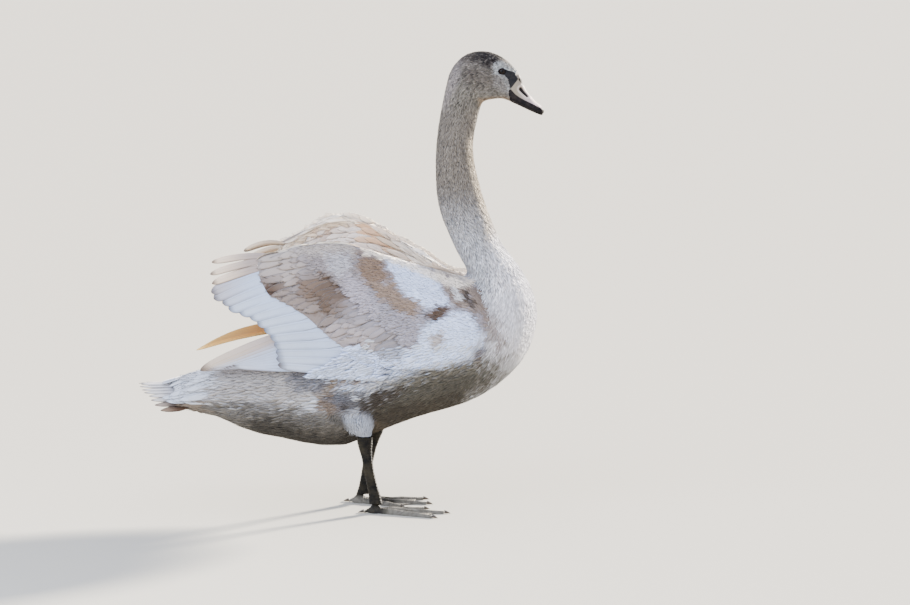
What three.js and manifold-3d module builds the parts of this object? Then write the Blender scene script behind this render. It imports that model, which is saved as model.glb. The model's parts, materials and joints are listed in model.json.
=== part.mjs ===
// A young mute swan in its second winter, life size, standing on both feet with its wings arched over
// its back. Units are millimetres. +X points towards the bill, +Y to the bird's left and +Z up, and the
// floor is Z = 0. Points in the plane of symmetry are written [x, z]. Points of a wing are written
// [x, out, z], where out is the distance from that plane, so that one list serves both sides.
import * as THREE from "three";
import { mergeVertices } from "three/addons/utils/BufferGeometryUtils.js";
import Module from "manifold-3d";

const wasm = await Module();
wasm.setup();

const GAP = 0.3; // clear space between two neighbouring pieces
const RIGHT = -1;
const LEFT = 1;

// Where the middle of the bird's bounding box lies before the whole bird is moved onto the origin.
const BOX_MIDDLE = { x: -2.9, y: 0 };

const COLOURS = {
  plumage: { color: 0xb9ada6, roughness: 0.9, metalness: 0 },
  quills: { color: 0xd9dde4, roughness: 0.75, metalness: 0 },
  bill: { color: 0xb3a6ad, roughness: 0.45, metalness: 0 },
  mandible: { color: 0x17151a, roughness: 0.45, metalness: 0 },
  eye: { color: 0x120d0a, roughness: 0.05, metalness: 0 },
  leg: { color: 0x4b4541, roughness: 0.6, metalness: 0 },
  claw: { color: 0x241f1c, roughness: 0.5, metalness: 0 },
};

// ---------------------------------------------------------------- solids and meshes

// A closed solid from flat coordinates and triangles, turned the right way out if it came inside out.
function solidFrom(coordinates, triangles) {
  const loose = new THREE.BufferGeometry()
    .setAttribute("position", new THREE.Float32BufferAttribute(coordinates, 3));
  loose.setIndex(triangles);
  const merged = mergeVertices(loose, 1e-4);
  const make = (index) =>
    new wasm.Manifold(
      new wasm.Mesh({ numProp: 3, vertProperties: merged.attributes.position.array, triVerts: index }),
    );
  const index = new Uint32Array(merged.index.array);
  const made = make(index);
  if (made.volume() > 0) return made;
  for (let i = 0; i < index.length; i += 3) [index[i + 1], index[i + 2]] = [index[i + 2], index[i + 1]];
  return make(index);
}

// A solid from one of the three.js geometry classes.
function solidOf(geometry) {
  const bare = geometry.index ? geometry.toNonIndexed() : geometry.clone();
  const coordinates = Array.from(bare.attributes.position.array);
  return solidFrom(coordinates, coordinates.slice(0, coordinates.length / 3).map((_, i) => i));
}

// The largest separate body of a solid, for when a cut leaves crumbs.
function largest(solid) {
  return solid.decompose().reduce((a, b) => (b.volume() > a.volume() ? b : a));
}

function meshOf(name, solid, look) {
  const made = solid.getMesh();
  const flat = new Float32Array(made.numVert * 3);
  for (let i = 0; i < made.numVert; i++) {
    flat.set(made.vertProperties.subarray(i * made.numProp, i * made.numProp + 3), i * 3);
  }
  const geometry = new THREE.BufferGeometry()
    .setAttribute("position", new THREE.BufferAttribute(flat, 3))
    .setIndex(new THREE.BufferAttribute(made.triVerts, 1));
  geometry.computeVertexNormals();
  const mesh = new THREE.Mesh(geometry, new THREE.MeshStandardMaterial(COLOURS[look]));
  mesh.name = name;
  return mesh;
}

// A tube through closed rings of points, with a fan over each end.
function loft(rings) {
  const count = rings[0].length;
  const coordinates = rings.flat().flatMap((p) => p.toArray());
  const triangles = [];
  for (let r = 0; r + 1 < rings.length; r++) {
    for (let k = 0; k < count; k++) {
      const a = r * count + k;
      const b = r * count + ((k + 1) % count);
      triangles.push(a, b, a + count, b, b + count, a + count);
    }
  }
  for (const [ring, first, flip] of [
    [rings[0], 0, true],
    [rings.at(-1), (rings.length - 1) * count, false],
  ]) {
    const middle = ring.reduce((sum, p) => sum.add(p), new THREE.Vector3()).divideScalar(count);
    const apex = coordinates.length / 3;
    coordinates.push(...middle.toArray());
    for (let k = 0; k < count; k++) {
      const a = first + k;
      const b = first + ((k + 1) % count);
      triangles.push(...(flip ? [b, a, apex] : [a, b, apex]));
    }
  }
  return solidFrom(coordinates, triangles);
}

// A plate between two grids of points, outer[i][j] and inner[i][j], closed all round its edge.
function plate(outer, inner) {
  const rows = outer.length;
  const columns = outer[0].length;
  const coordinates = [...outer.flat(), ...inner.flat()].flatMap((p) => p.toArray());
  const at = (layer, i, j) => layer * rows * columns + i * columns + j;
  const triangles = [];
  const quad = (a, b, c, d) => triangles.push(a, b, c, a, c, d);
  for (let i = 0; i + 1 < rows; i++) {
    for (let j = 0; j + 1 < columns; j++) {
      quad(at(0, i, j), at(0, i, j + 1), at(0, i + 1, j + 1), at(0, i + 1, j));
      quad(at(1, i, j), at(1, i + 1, j), at(1, i + 1, j + 1), at(1, i, j + 1));
    }
  }
  for (let i = 0; i + 1 < rows; i++) {
    quad(at(0, i, 0), at(0, i + 1, 0), at(1, i + 1, 0), at(1, i, 0));
    quad(at(0, i + 1, columns - 1), at(0, i, columns - 1), at(1, i, columns - 1), at(1, i + 1, columns - 1));
  }
  for (let j = 0; j + 1 < columns; j++) {
    quad(at(0, 0, j + 1), at(0, 0, j), at(1, 0, j), at(1, 0, j + 1));
    quad(at(0, rows - 1, j), at(0, rows - 1, j + 1), at(1, rows - 1, j + 1), at(1, rows - 1, j));
  }
  return solidFrom(coordinates, triangles);
}

const steps = (count) => Array.from({ length: count + 1 }, (_, i) => i / count);
const smooth = (low, high, value) => THREE.MathUtils.smoothstep(value, low, high);
const curveOf = (points) => new THREE.CatmullRomCurve3(points.map((p) => new THREE.Vector3(...p)));

// ---------------------------------------------------------------- trunk, neck and head

// Each station is a slice of the bird from its back line to its belly line. half is its half width, and sag
// moves the widest part towards the belly.
const STATIONS = [
  { at: "tail coverts", back: [-318, 245], belly: [-306, 185], half: 56, sag: 0.3 },
  { at: "tail root", back: [-270, 261], belly: [-260, 178], half: 63, sag: 0.2 },
  { at: "vent", back: [-222, 277], belly: [-222, 165], half: 71, sag: 0.1 },
  { at: "rump", back: [-172, 294], belly: [-174, 144], half: 83, sag: 0.1 },
  { at: "hip", back: [-110, 318], belly: [-110, 132], half: 95, sag: 0.1 },
  { at: "loin", back: [-50, 340], belly: [-50, 121], half: 103, sag: 0.1 },
  { at: "abdomen", back: [10, 361], belly: [8, 121], half: 106, sag: 0.1 },
  { at: "knee", back: [70, 381], belly: [74, 150], half: 106, sag: 0.08 },
  { at: "back", back: [128, 402], belly: [142, 177], half: 106, sag: 0.05 },
  { at: "mantle", back: [180, 422], belly: [194, 193], half: 105, sag: 0.05 },
  { at: "keel", back: [212, 435], belly: [240, 208], half: 102, sag: 0.1 },
  { at: "lower breast", back: [229, 442], belly: [284, 232], half: 98, sag: 0.2 },
  { at: "breast", back: [236, 448], belly: [323, 264], half: 92, sag: 0.25 },
  { at: "full breast", back: [240, 454], belly: [352, 300], half: 86, sag: 0.25 },
  { at: "crop", back: [241, 461], belly: [369, 343], half: 79, sag: 0.2 },
  { at: "upper crop", back: [238, 470], belly: [374, 388], half: 70, sag: 0.1 },
  { at: "neck root", back: [230, 482], belly: [360, 434], half: 60, sag: 0 },
  { at: "low neck", back: [218, 503], belly: [336, 474], half: 52, sag: 0 },
  { at: "neck swell", back: [205, 532], belly: [308, 508], half: 45, sag: 0 },
  { at: "lower neck", back: [192, 562], belly: [288, 552], half: 40, sag: 0 },
  { at: "mid neck", back: [183, 597], belly: [272, 595], half: 36, sag: 0 },
  { at: "neck bend", back: [180, 637], belly: [259, 642], half: 34, sag: 0 },
  { at: "upper neck", back: [180, 677], belly: [251, 685], half: 32, sag: 0 },
  { at: "slim neck", back: [183, 720], belly: [253, 722], half: 31, sag: 0 },
  { at: "under the head", back: [189, 760], belly: [261, 756], half: 31, sag: 0 },
  { at: "nape", back: [197, 798], belly: [267, 778], half: 32, sag: 0 },
  { at: "throat", back: [205, 834], belly: [272, 785], half: 33, sag: 0 },
  { at: "back of the head", back: [220, 859], belly: [280, 787], half: 33.5, sag: 0.05 },
  { at: "crown", back: [243, 876], belly: [289, 789], half: 33, sag: 0.1 },
  { at: "high crown", back: [269, 881], belly: [297, 790], half: 31.5, sag: 0.15 },
  { at: "brow", back: [290, 878], belly: [306, 791], half: 28.5, sag: 0.15 },
  { at: "eye", back: [306, 871], belly: [313, 790], half: 25, sag: 0.1 },
  { at: "lores", back: [320, 862], belly: [319, 788], half: 20.5, sag: 0.1 },
  { at: "bill root", back: [331, 851], belly: [321, 787], half: 16.5, sag: 0.1 },
];
const RING_POINTS = 20;
const SLICES_PER_STATION = 1.5;

const lastStation = STATIONS.length - 1;
const stationIndex = (name) => STATIONS.findIndex((s) => s.at === name);
// The half width travels as the curve's y, and the sag as the y of the belly's curve.
const backLine = curveOf(STATIONS.map((s) => [s.back[0], s.half, s.back[1]]));
const bellyLine = curveOf(STATIONS.map((s) => [s.belly[0], s.sag, s.belly[1]]));

// The head is turned a little to the bird's right, about an upright axis in the top of the neck.
const HEAD_TURN = THREE.MathUtils.degToRad(-6);
const HEAD_AXIS = new THREE.Vector3(228, 0, 0);
const UP = new THREE.Vector3(0, 0, 1);

function turnHead(point, share) {
  return point.sub(HEAD_AXIS).applyAxisAngle(UP, HEAD_TURN * share).add(HEAD_AXIS);
}

// The ring of points round the bird at a station number, which may lie between two stations.
function bodyRing(station, swell = 0) {
  const back = backLine.getPoint(station / lastStation);
  const belly = bellyLine.getPoint(station / lastStation);
  const [half, sag] = [back.y + swell, belly.y];
  back.y = 0;
  belly.y = 0;
  const middle = back.clone().add(belly).multiplyScalar(0.5);
  const reach = back.clone().sub(middle);
  reach.setLength(reach.length() + swell);
  const turned = smooth(stationIndex("upper neck"), stationIndex("back of the head"), station);
  return Array.from({ length: RING_POINTS }, (_, k) => {
    const angle = (2 * Math.PI * k) / RING_POINTS;
    const side = half * Math.sin(angle) * (1 - sag * Math.cos(angle));
    const point = middle.clone().addScaledVector(reach, Math.cos(angle));
    point.y = side;
    return turnHead(point, turned);
  });
}

// The length of one station's step along the middle of the bird, for turning a gap into a share of a station.
function stepLength(station) {
  const middle = (s) => {
    const back = backLine.getPoint(s / lastStation);
    const belly = bellyLine.getPoint(s / lastStation);
    return new THREE.Vector3((back.x + belly.x) / 2, 0, (back.z + belly.z) / 2);
  };
  return middle(Math.min(station + 0.5, lastStation)).distanceTo(middle(Math.max(station - 0.5, 0)));
}

// The bird between two named stations. The later end stops short of its station, to leave the gap.
function bodyPiece(from, to, swell = 0) {
  const first = stationIndex(from);
  const end = stationIndex(to);
  const last = end === lastStation ? end : end - (2 * GAP) / stepLength(end);
  const slices = Math.round((last - first) * SLICES_PER_STATION);
  return loft(steps(slices).map((share) => bodyRing(first + (last - first) * share, swell)));
}

// ---------------------------------------------------------------- bill and eyes

// Each station gives the culmen, the mouth line and the lower edge of the bill, with its half width.
const BILL = [
  { culmen: [334, 850], mouth: [323.5, 799], under: [322, 787.5], half: 16.5 },
  { culmen: [341.5, 838], mouth: [331, 794.5], under: [328.5, 784.5], half: 16.2 },
  { culmen: [347, 822], mouth: [340, 789.5], under: [337, 781], half: 15.6 },
  { culmen: [353.5, 808.5], mouth: [349, 785], under: [346, 777.2], half: 15 },
  { culmen: [362.5, 797], mouth: [358, 780.5], under: [355.5, 773], half: 14.6 },
  { culmen: [372, 787.5], mouth: [367, 776], under: [365, 769], half: 14.8 },
  { culmen: [380, 780.5], mouth: [375.5, 771.5], under: [374, 765.5], half: 14.6 },
  { culmen: [385.4, 776], mouth: [382.5, 768], under: [381, 762.8], half: 12 },
  { culmen: [388, 772.4], mouth: [386.6, 765.6], under: [385.2, 761.4], half: 7.5 },
  { culmen: [389, 769.6], mouth: [388.4, 766], under: [387, 762.6], half: 3 },
];
const DOME_POINTS = 12;
const DOME_FULLNESS = 0.85; // below 1 a dome is fuller at its shoulders than a half circle
const LOWER_BILL_SHARE = 0.84; // the lower bill's width as a share of the upper's

// A half-round ring standing on its flat side: from is the middle of the flat, to the top of the dome.
// The bill and the eyes are drawn from the axis that the head turns about.
function domeRing(from, to, half) {
  const base = new THREE.Vector3(from[0], 0, from[1]).sub(HEAD_AXIS);
  const rise = new THREE.Vector3(to[0] - from[0], 0, to[1] - from[1]);
  return Array.from({ length: DOME_POINTS }, (_, k) => {
    const angle = (Math.PI * k) / (DOME_POINTS - 1);
    const point = base.clone().addScaledVector(rise, Math.sin(angle) ** DOME_FULLNESS);
    point.y = half * Math.cos(angle);
    return point;
  });
}

function upperBill() {
  return loft(BILL.map((s) => domeRing(s.mouth, s.culmen, s.half)));
}

function lowerBill() {
  return loft(
    BILL.map((s) => domeRing([s.mouth[0] - GAP, s.mouth[1] - 2 * GAP], s.under, s.half * LOWER_BILL_SHARE)),
  );
}

const EYE = { x: 312.4, out: 16.4, z: 844.4, radius: 6.6 };

const eyePlace = (side) => new THREE.Vector3(EYE.x, side * EYE.out, EYE.z);
const eyeball = () => solidOf(new THREE.SphereGeometry(EYE.radius, 12, 8));

// The hollow that an eye sits in, where the turned head has it.
function socket(side) {
  const middle = turnHead(eyePlace(side), 1);
  return solidOf(new THREE.SphereGeometry(EYE.radius + GAP, 12, 8).translate(...middle.toArray()));
}

// ---------------------------------------------------------------- tail

const TAIL = {
  feathers: 16,
  root: { x: -319, half: 55, z: 241, arch: 40 },
  tip: { x: -395, half: 84, z: 231, arch: 33, wedge: 58, wedgeCurve: 1.6 },
  thickness: [9, 2.4],
};
const SAMPLES_PER_FEATHER = 3;
// How far the edge drops back between two feather tips. Below 1 the tips are blunter than half circles.
const NOTCH = { depth: 7, bluntness: 0.7 };

// How far a fringe of feathers drops back at a place along it, which runs from 0 to 1.
function notch(along, feathers) {
  return NOTCH.depth * (1 - Math.sin(Math.PI * ((along * feathers) % 1)) ** NOTCH.bluntness);
}

function tail() {
  const { root, tip, thickness } = TAIL;
  const rows = steps(TAIL.feathers * SAMPLES_PER_FEATHER).map((along) => {
    const across = 2 * along - 1;
    const start = new THREE.Vector3(root.x, root.half * across, root.z - root.arch * across ** 2);
    const retreat = tip.wedge * Math.abs(across) ** tip.wedgeCurve + notch(along, TAIL.feathers);
    const end = new THREE.Vector3(tip.x + retreat, tip.half * across, tip.z - tip.arch * across ** 2);
    return steps(2).map((t) => start.clone().lerp(end, t));
  });
  const under = rows.map((row) =>
    row.map((p, j) => p.clone().setZ(p.z - THREE.MathUtils.lerp(...thickness, j / (row.length - 1)))),
  );
  return plate(rows, under);
}

// ---------------------------------------------------------------- wings

// The arm of a wing is a patch with four edges: the ridge from the tertials to the shoulder, the front
// from the shoulder down to the wrist, the hem below, and the tips of the greater coverts at the rear.
const ARM = {
  ridge: [
    [-156, 70, 487], [-60, 80, 513], [15, 86, 518], [86, 84, 501],
    [158, 78, 478], [215, 70, 459], [252, 60, 446],
  ],
  front: [[252, 60, 446], [272, 88, 420], [284, 112, 382], [281, 121, 345], [258, 116, 310]],
  hem: [[60, 128, 291], [130, 128, 284], [200, 122, 286], [258, 116, 310]],
  coverts: [
    [-156, 70, 487], [-155, 75, 476], [-153, 80, 460], [-149, 86, 444], [-131, 96, 417],
    [-92, 106, 401], [-52, 114, 378], [-14, 121, 346], [22, 125, 315], [60, 128, 291],
  ],
  bulge: 18,
  // The depth grows from the rear to the shoulder from this share of the way on, and thins towards the hem.
  thickness: { rear: 10, shoulder: 62, from: 0.45, thinning: 0.55 },
  inmost: 8, // the least distance from the plane of symmetry
  slices: [14, 9],
};
// The secondaries grow from under the edge of the coverts, and each point here is a tip across from a covert.
const SECONDARIES = {
  feathers: 16,
  tips: [
    [-242, 60, 475], [-243, 68, 452], [-240, 76, 430], [-227, 83, 411], [-200, 91, 394],
    [-166, 97, 381], [-140, 103, 358], [-118, 109, 332], [-104, 113, 303], [-100, 116, 274],
  ],
  thickness: [9, 2.2],
  clear: 1.6,
};
// The primaries lie folded under the secondaries, and bow lifts the middle of each one.
const PRIMARIES = {
  feathers: 10,
  thickness: [5, 2.2],
  folded: {
    [RIGHT]: {
      roots: [[52, 112, 330], [54, 112, 322], [56, 113, 311], [58, 113, 300]],
      tips: [[-128, 92, 339], [-187, 82, 318], [-240, 72, 297], [-269, 62, 267]],
      bow: 7,
    },
    [LEFT]: {
      roots: [[52, 112, 346], [54, 112, 340], [56, 113, 334], [58, 113, 326]],
      tips: [[-142, 92, 358], [-192, 84, 344], [-240, 76, 322], [-294, 68, 287]],
      bow: 20,
    },
  },
};
// The left wing is held higher above the back than the right one, and drawn in at its rear.
const LEFT_RAISE = [
  [-300, 0], [-200, 12], [-122, 3], [-75, 16], [-42, 30], [13, 28], [84, 11], [145, 2], [194, -14], [260, 0],
];
const LEFT_DRAW = { behind: -100, share: 0.68 };
const WING_TOP = { low: 370, high: 470 }; // the left wing differs above here, fully so at the second height

// The value at x of a run of straight lines between points.
function lineThrough(points, x) {
  const next = points.findIndex((p) => p[0] >= x);
  if (next <= 0) return points[next === 0 ? 0 : points.length - 1][1];
  const [[x0, y0], [x1, y1]] = [points[next - 1], points[next]];
  return y0 + ((y1 - y0) * (x - x0)) / (x1 - x0);
}

// A wing point placed on its own side of the bird, in the pose of that side's wing.
function wingPoint(point, side) {
  const share = side === LEFT ? smooth(WING_TOP.low, WING_TOP.high, point.z) : 0;
  const drawn = Math.max(LEFT_DRAW.behind - point.x, 0) * (1 - LEFT_DRAW.share);
  return new THREE.Vector3(
    point.x + share * drawn,
    side * point.y,
    point.z + share * lineThrough(LEFT_RAISE, point.x),
  );
}

// A point of the arm's outer face: u runs from the covert tips to the front, and v from the ridge to the hem.
function armPoint(u, v) {
  const [ridge, hem, rear, front] = [armEdges.ridge, armEdges.hem, armEdges.coverts, armEdges.front];
  const along = ridge.getPoint(u).multiplyScalar(1 - v).addScaledVector(hem.getPoint(u), v);
  const down = rear.getPoint(v).multiplyScalar(1 - u).addScaledVector(front.getPoint(v), u);
  const corners = ridge.getPoint(0).multiplyScalar((1 - u) * (1 - v))
    .addScaledVector(ridge.getPoint(1), u * (1 - v))
    .addScaledVector(hem.getPoint(0), (1 - u) * v)
    .addScaledVector(hem.getPoint(1), u * v);
  const point = along.add(down).sub(corners);
  point.y += ARM.bulge * Math.sin(Math.PI * u) * Math.sin(Math.PI * v);
  return point;
}

const armEdges = {
  ridge: curveOf(ARM.ridge),
  hem: curveOf(ARM.hem),
  coverts: curveOf(ARM.coverts),
  front: curveOf(ARM.front),
};

function arm(side) {
  const { rear, shoulder, from, thinning } = ARM.thickness;
  const outer = steps(ARM.slices[0]).map((u) => steps(ARM.slices[1]).map((v) => armPoint(u, v)));
  const inner = outer.map((row, i) =>
    row.map((p, j) => {
      const u = i / ARM.slices[0];
      const v = j / ARM.slices[1];
      const depth = rear + (shoulder - rear) * smooth(from, 1, u) * (1 - thinning * v);
      return new THREE.Vector3(p.x, Math.max(p.y - depth, ARM.inmost), p.z);
    }),
  );
  const place = (grid) => grid.map((row) => row.map((p) => wingPoint(p, side)));
  return plate(place(outer), place(inner));
}

// A row of long feathers as one thin plate with a notched edge. rootAt and tipAt give the two ends of
// the feather at a place along the row, clear is the space left beside the roots, and bow lifts the
// middle of each feather.
function featherRow({ feathers, thickness, rootAt, tipAt, clear = 0, bow = 0 }, side) {
  const outer = steps(feathers * SAMPLES_PER_FEATHER).map((along) => {
    const root = rootAt(along);
    const reach = tipAt(along).sub(root);
    const length = reach.length();
    return steps(2).map((t) => {
      const travelled = clear + t * (length - clear - notch(along, feathers));
      const point = root.clone().addScaledVector(reach, travelled / length);
      point.z += bow * Math.sin(Math.PI * t);
      return point;
    });
  });
  const inner = outer.map((line) =>
    line.map((p, j) => {
      const depth = THREE.MathUtils.lerp(...thickness, j / (line.length - 1));
      return new THREE.Vector3(p.x, p.y - depth, p.z);
    }),
  );
  const place = (grid) => grid.map((line) => line.map((p) => wingPoint(p, side)));
  return plate(place(outer), place(inner));
}

function secondaries(side) {
  const slices = ARM.slices[1];
  const edge = steps(slices).map((v) => armPoint(0, v));
  const tips = curveOf(SECONDARIES.tips);
  const rootAt = (along) => {
    const index = Math.min(Math.floor(along * slices), slices - 1);
    return edge[index].clone().lerp(edge[index + 1], along * slices - index);
  };
  return featherRow({ ...SECONDARIES, rootAt, tipAt: (along) => tips.getPoint(along) }, side);
}

function primaries(side) {
  const { roots, tips, bow } = PRIMARIES.folded[side];
  const [rootLine, tipLine] = [curveOf(roots), curveOf(tips)];
  const rootAt = (along) => rootLine.getPoint(along);
  const tipAt = (along) => tipLine.getPoint(along);
  return featherRow({ ...PRIMARIES, bow, rootAt, tipAt }, side);
}

// ---------------------------------------------------------------- legs and feet

// The right foot is set forward and the left one back, as in a short stride, with the left knee a
// little forward.
const STRIDE = { [RIGHT]: { knee: 0, foot: 0 }, [LEFT]: { knee: 6, foot: -48 } };
const KNEE_HEIGHT = 150;
// Each station is [x, out, z, half length, half width].
const THIGH = [
  [6, 84, 222, 52, 30],
  [18, 86, 200, 46, 30],
  [34, 80, 178, 34, 27],
  [46, 70, 160, 22, 20],
  [53, 62, 147, 14.5, 13],
];
const SHANK = [
  [53, 61.6, 146.4, 14, 12],
  [52.5, 60.5, 136, 15, 12],
  [53.5, 60, 123, 12.5, 9.5],
  [56, 59.5, 106, 10, 7.5],
  [60, 59, 80, 9.5, 7],
  [66, 58.5, 52, 10, 7.5],
  [71, 58, 32, 11.5, 9],
  [73, 58, 17.5, 13, 11],
];
const LEG_POINTS = 12;

// An upright run of oval rings, moved forward or back with the stride of its side.
function limb(stations, side) {
  const { knee, foot: sole } = STRIDE[side];
  return loft(
    stations.map(([x, out, z, long, wide]) => {
      const shift = THREE.MathUtils.lerp(sole, knee, Math.min(z / KNEE_HEIGHT, 1));
      return Array.from({ length: LEG_POINTS }, (_, k) => {
        const angle = (2 * Math.PI * k) / LEG_POINTS;
        return new THREE.Vector3(x + shift + long * Math.cos(angle), side * out + wide * Math.sin(angle), z);
      });
    }),
  );
}

const FOOT = {
  joint: [73, 58], // where the toes meet, as x and distance out
  // Toe lengths without the claw, and their turn from straight ahead towards the outside.
  toes: [
    { name: "inner", length: 98, turn: -29 },
    { name: "middle", length: 130, turn: -3 },
    { name: "outer", length: 124, turn: 22 },
  ],
  hind: { name: "hind", length: 22, turn: 168, height: 9, half: 5, lift: 6 },
  toeHeight: 11,
  toeHalf: 7.5,
  toeShape: { taper: 0.45, knuckle: 0.08, end: 0.8, sides: 8 },
  ball: { long: 15, wide: 12.5, high: 17 },
  web: { thickness: 2.6, reach: 0.93, dip: 0.8 },
  claw: { length: 13, radius: 4, taper: 0.8, curve: 1.5, narrow: 0.75, sides: 8 },
};
const toeAngle = (turn, side) => THREE.MathUtils.degToRad(turn) * side;
const toeDirection = (turn, side) => new THREE.Vector3(1, 0, 0).applyAxisAngle(UP, toeAngle(turn, side));

// One toe lying flat on the floor: low domes that shrink towards the claw. A foot is drawn from the
// joint of its toes.
function toe(direction, length, height, half, lift = 0) {
  const sideways = new THREE.Vector3(-direction.y, direction.x, 0);
  const { taper, knuckle, end, sides } = FOOT.toeShape;
  return loft(
    steps(6).map((t) => {
      const swelling = 1 + knuckle * Math.cos(6 * Math.PI * t);
      const shrink = (1 - taper * t) * swelling * (t === 1 ? end : 1);
      const middle = direction.clone().multiplyScalar(length * t);
      middle.z += lift * (1 - t);
      return Array.from({ length: sides }, (_, k) => {
        const angle = (Math.PI * k) / (sides - 1);
        return middle.clone()
          .addScaledVector(sideways, half * shrink * Math.cos(angle))
          .add(new THREE.Vector3(0, 0, height * shrink * Math.sin(angle)));
      });
    }),
  );
}

// The skin between two toes, a thin plate whose free edge dips in towards the foot.
function web(side) {
  const { reach, dip, thickness } = FOOT.web;
  const ends = FOOT.toes.map((t) => toeDirection(t.turn, side).multiplyScalar(t.length * reach));
  const outline = new THREE.Shape().moveTo(0, 0).lineTo(ends[0].x, ends[0].y);
  for (const [a, b] of [[ends[0], ends[1]], [ends[1], ends[2]]]) {
    const low = a.clone().add(b).multiplyScalar(dip / 2);
    outline.quadraticCurveTo(low.x, low.y, b.x, b.y);
  }
  outline.closePath();
  const settings = { depth: thickness, bevelEnabled: false, curveSegments: 6 };
  return solidOf(new THREE.ExtrudeGeometry(outline, settings));
}

function foot(side) {
  const { toes, hind, toeHeight, toeHalf, ball } = FOOT;
  let made = web(side);
  for (const { length, turn } of toes) {
    made = made.add(toe(toeDirection(turn, side), length, toeHeight, toeHalf));
  }
  made = made.add(toe(toeDirection(hind.turn, side), hind.length, hind.height, hind.half, hind.lift));
  const round = solidOf(new THREE.SphereGeometry(1, 12, 8).scale(ball.long, ball.wide, ball.high));
  const above = new THREE.BoxGeometry(4 * ball.long, 4 * ball.wide, ball.high);
  return made.add(round.intersect(solidOf(above.translate(0, 0, ball.high / 2))));
}

// A claw along +X, a short cone that lies on the floor in front of its toe.
function claw() {
  const { length, radius, taper, curve, narrow, sides } = FOOT.claw;
  return loft(
    steps(3).map((t) => {
      const r = radius * (1 - taper * t ** curve);
      return Array.from({ length: sides }, (_, k) => {
        const angle = (2 * Math.PI * k) / sides;
        return new THREE.Vector3(length * t, r * narrow * Math.cos(angle), r * (1 + Math.sin(angle)));
      });
    }),
  );
}

// ---------------------------------------------------------------- the bird

const bird = new THREE.Group();
bird.position.set(-BOX_MIDDLE.x, -BOX_MIDDLE.y, 0);

// A group inside the bird, at a place and turned about the upright axis.
function groupAt(place, turn = 0) {
  const group = new THREE.Group();
  group.position.copy(place);
  group.rotation.z = turn;
  bird.add(group);
  return group;
}

function add(parent, name, solid, look) {
  const mesh = meshOf(name, largest(solid), look);
  parent.add(mesh);
  return mesh;
}

// The trunk and the low neck with the gap round them, for cutting what lies against them.
const room = bodyPiece("tail coverts", "neck root", GAP).add(bodyPiece("upper crop", "mid neck", GAP));

add(bird, "trunk", bodyPiece("tail coverts", "neck root"), "plumage");
add(bird, "neck_lower", bodyPiece("neck root", "neck bend"), "plumage");
add(bird, "neck_upper", bodyPiece("neck bend", "throat"), "plumage");
add(bird, "head", bodyPiece("throat", "bill root").subtract(socket(RIGHT)).subtract(socket(LEFT)), "plumage");
add(bird, "tail", tail(), "quills");

const face = groupAt(HEAD_AXIS, HEAD_TURN);
add(face, "bill_upper", upperBill(), "bill");
add(face, "bill_lower", lowerBill(), "mandible");

for (const [side, word] of [
  [RIGHT, "right"],
  [LEFT, "left"],
]) {
  add(face, `eye_${word}`, eyeball(), "eye").position.copy(eyePlace(side).sub(HEAD_AXIS));
  add(bird, `wing_${word}_arm`, arm(side).subtract(room), "plumage");
  add(bird, `wing_${word}_secondaries`, secondaries(side), "quills");
  add(bird, `wing_${word}_primaries`, primaries(side).subtract(room), "quills");
  add(bird, `thigh_${word}`, limb(THIGH, side).subtract(room), "plumage");
  add(bird, `shank_${word}`, limb(SHANK, side).subtract(room), "leg");

  const [ahead, out] = FOOT.joint;
  const sole = groupAt(new THREE.Vector3(ahead + STRIDE[side].foot, side * out, 0));
  add(sole, `foot_${word}`, foot(side), "leg");
  for (const digit of [...FOOT.toes, FOOT.hind]) {
    const nail = add(sole, `claw_${word}_${digit.name}`, claw(), "claw");
    nail.position.copy(toeDirection(digit.turn, side)).multiplyScalar(digit.length + GAP);
    nail.rotation.z = toeAngle(digit.turn, side);
  }
}

export default bird;
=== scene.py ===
"""A young mute swan in its second winter, life size, standing with its wings arched over its back.

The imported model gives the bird's solid form. This script puts one skin over its flesh, lays the plumage
on that skin as separate vanes, and dresses the bill, the eyes and the legs. Markings and places are written
in the bird's own millimetres, seen from the side as x and z. Meshes and voxels are in metres.
"""
import json
import logging
import math
from collections.abc import Callable
from dataclasses import dataclass, replace
from enum import Enum
from functools import partial

import bpy
import numpy as np
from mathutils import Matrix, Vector
from mathutils.bvhtree import BVHTree

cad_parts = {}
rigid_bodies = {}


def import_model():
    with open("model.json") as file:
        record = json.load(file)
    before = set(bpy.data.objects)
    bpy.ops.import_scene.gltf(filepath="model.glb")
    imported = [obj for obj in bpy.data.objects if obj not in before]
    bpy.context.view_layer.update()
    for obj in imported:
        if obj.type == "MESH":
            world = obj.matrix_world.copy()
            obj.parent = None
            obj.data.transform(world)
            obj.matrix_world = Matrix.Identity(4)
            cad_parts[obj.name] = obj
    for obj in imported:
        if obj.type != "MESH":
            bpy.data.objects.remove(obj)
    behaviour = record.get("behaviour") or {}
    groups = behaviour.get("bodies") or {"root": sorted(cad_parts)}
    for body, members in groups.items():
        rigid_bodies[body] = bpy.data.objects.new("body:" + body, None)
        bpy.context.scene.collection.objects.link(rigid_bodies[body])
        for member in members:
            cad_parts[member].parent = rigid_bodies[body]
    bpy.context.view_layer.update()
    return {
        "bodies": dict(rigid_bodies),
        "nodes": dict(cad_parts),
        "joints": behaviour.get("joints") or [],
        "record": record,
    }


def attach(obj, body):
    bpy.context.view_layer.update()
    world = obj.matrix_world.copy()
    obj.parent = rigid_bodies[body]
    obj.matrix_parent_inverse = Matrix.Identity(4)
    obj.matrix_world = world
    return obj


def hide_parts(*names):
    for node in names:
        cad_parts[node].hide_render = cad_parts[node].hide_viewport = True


log = logging.getLogger("swan")
MM = 0.001
FORWARD_MM = 2.9  # how far ahead of the frame's origin the bird's own numbers start
HEAD_AXIS_MM = 228.0  # the upright axis in the top of the neck about which the head turns
HEAD_TURN = math.radians(-6)
LENS_MM = 333.2
RIGHT, LEFT = -1, 1
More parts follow.
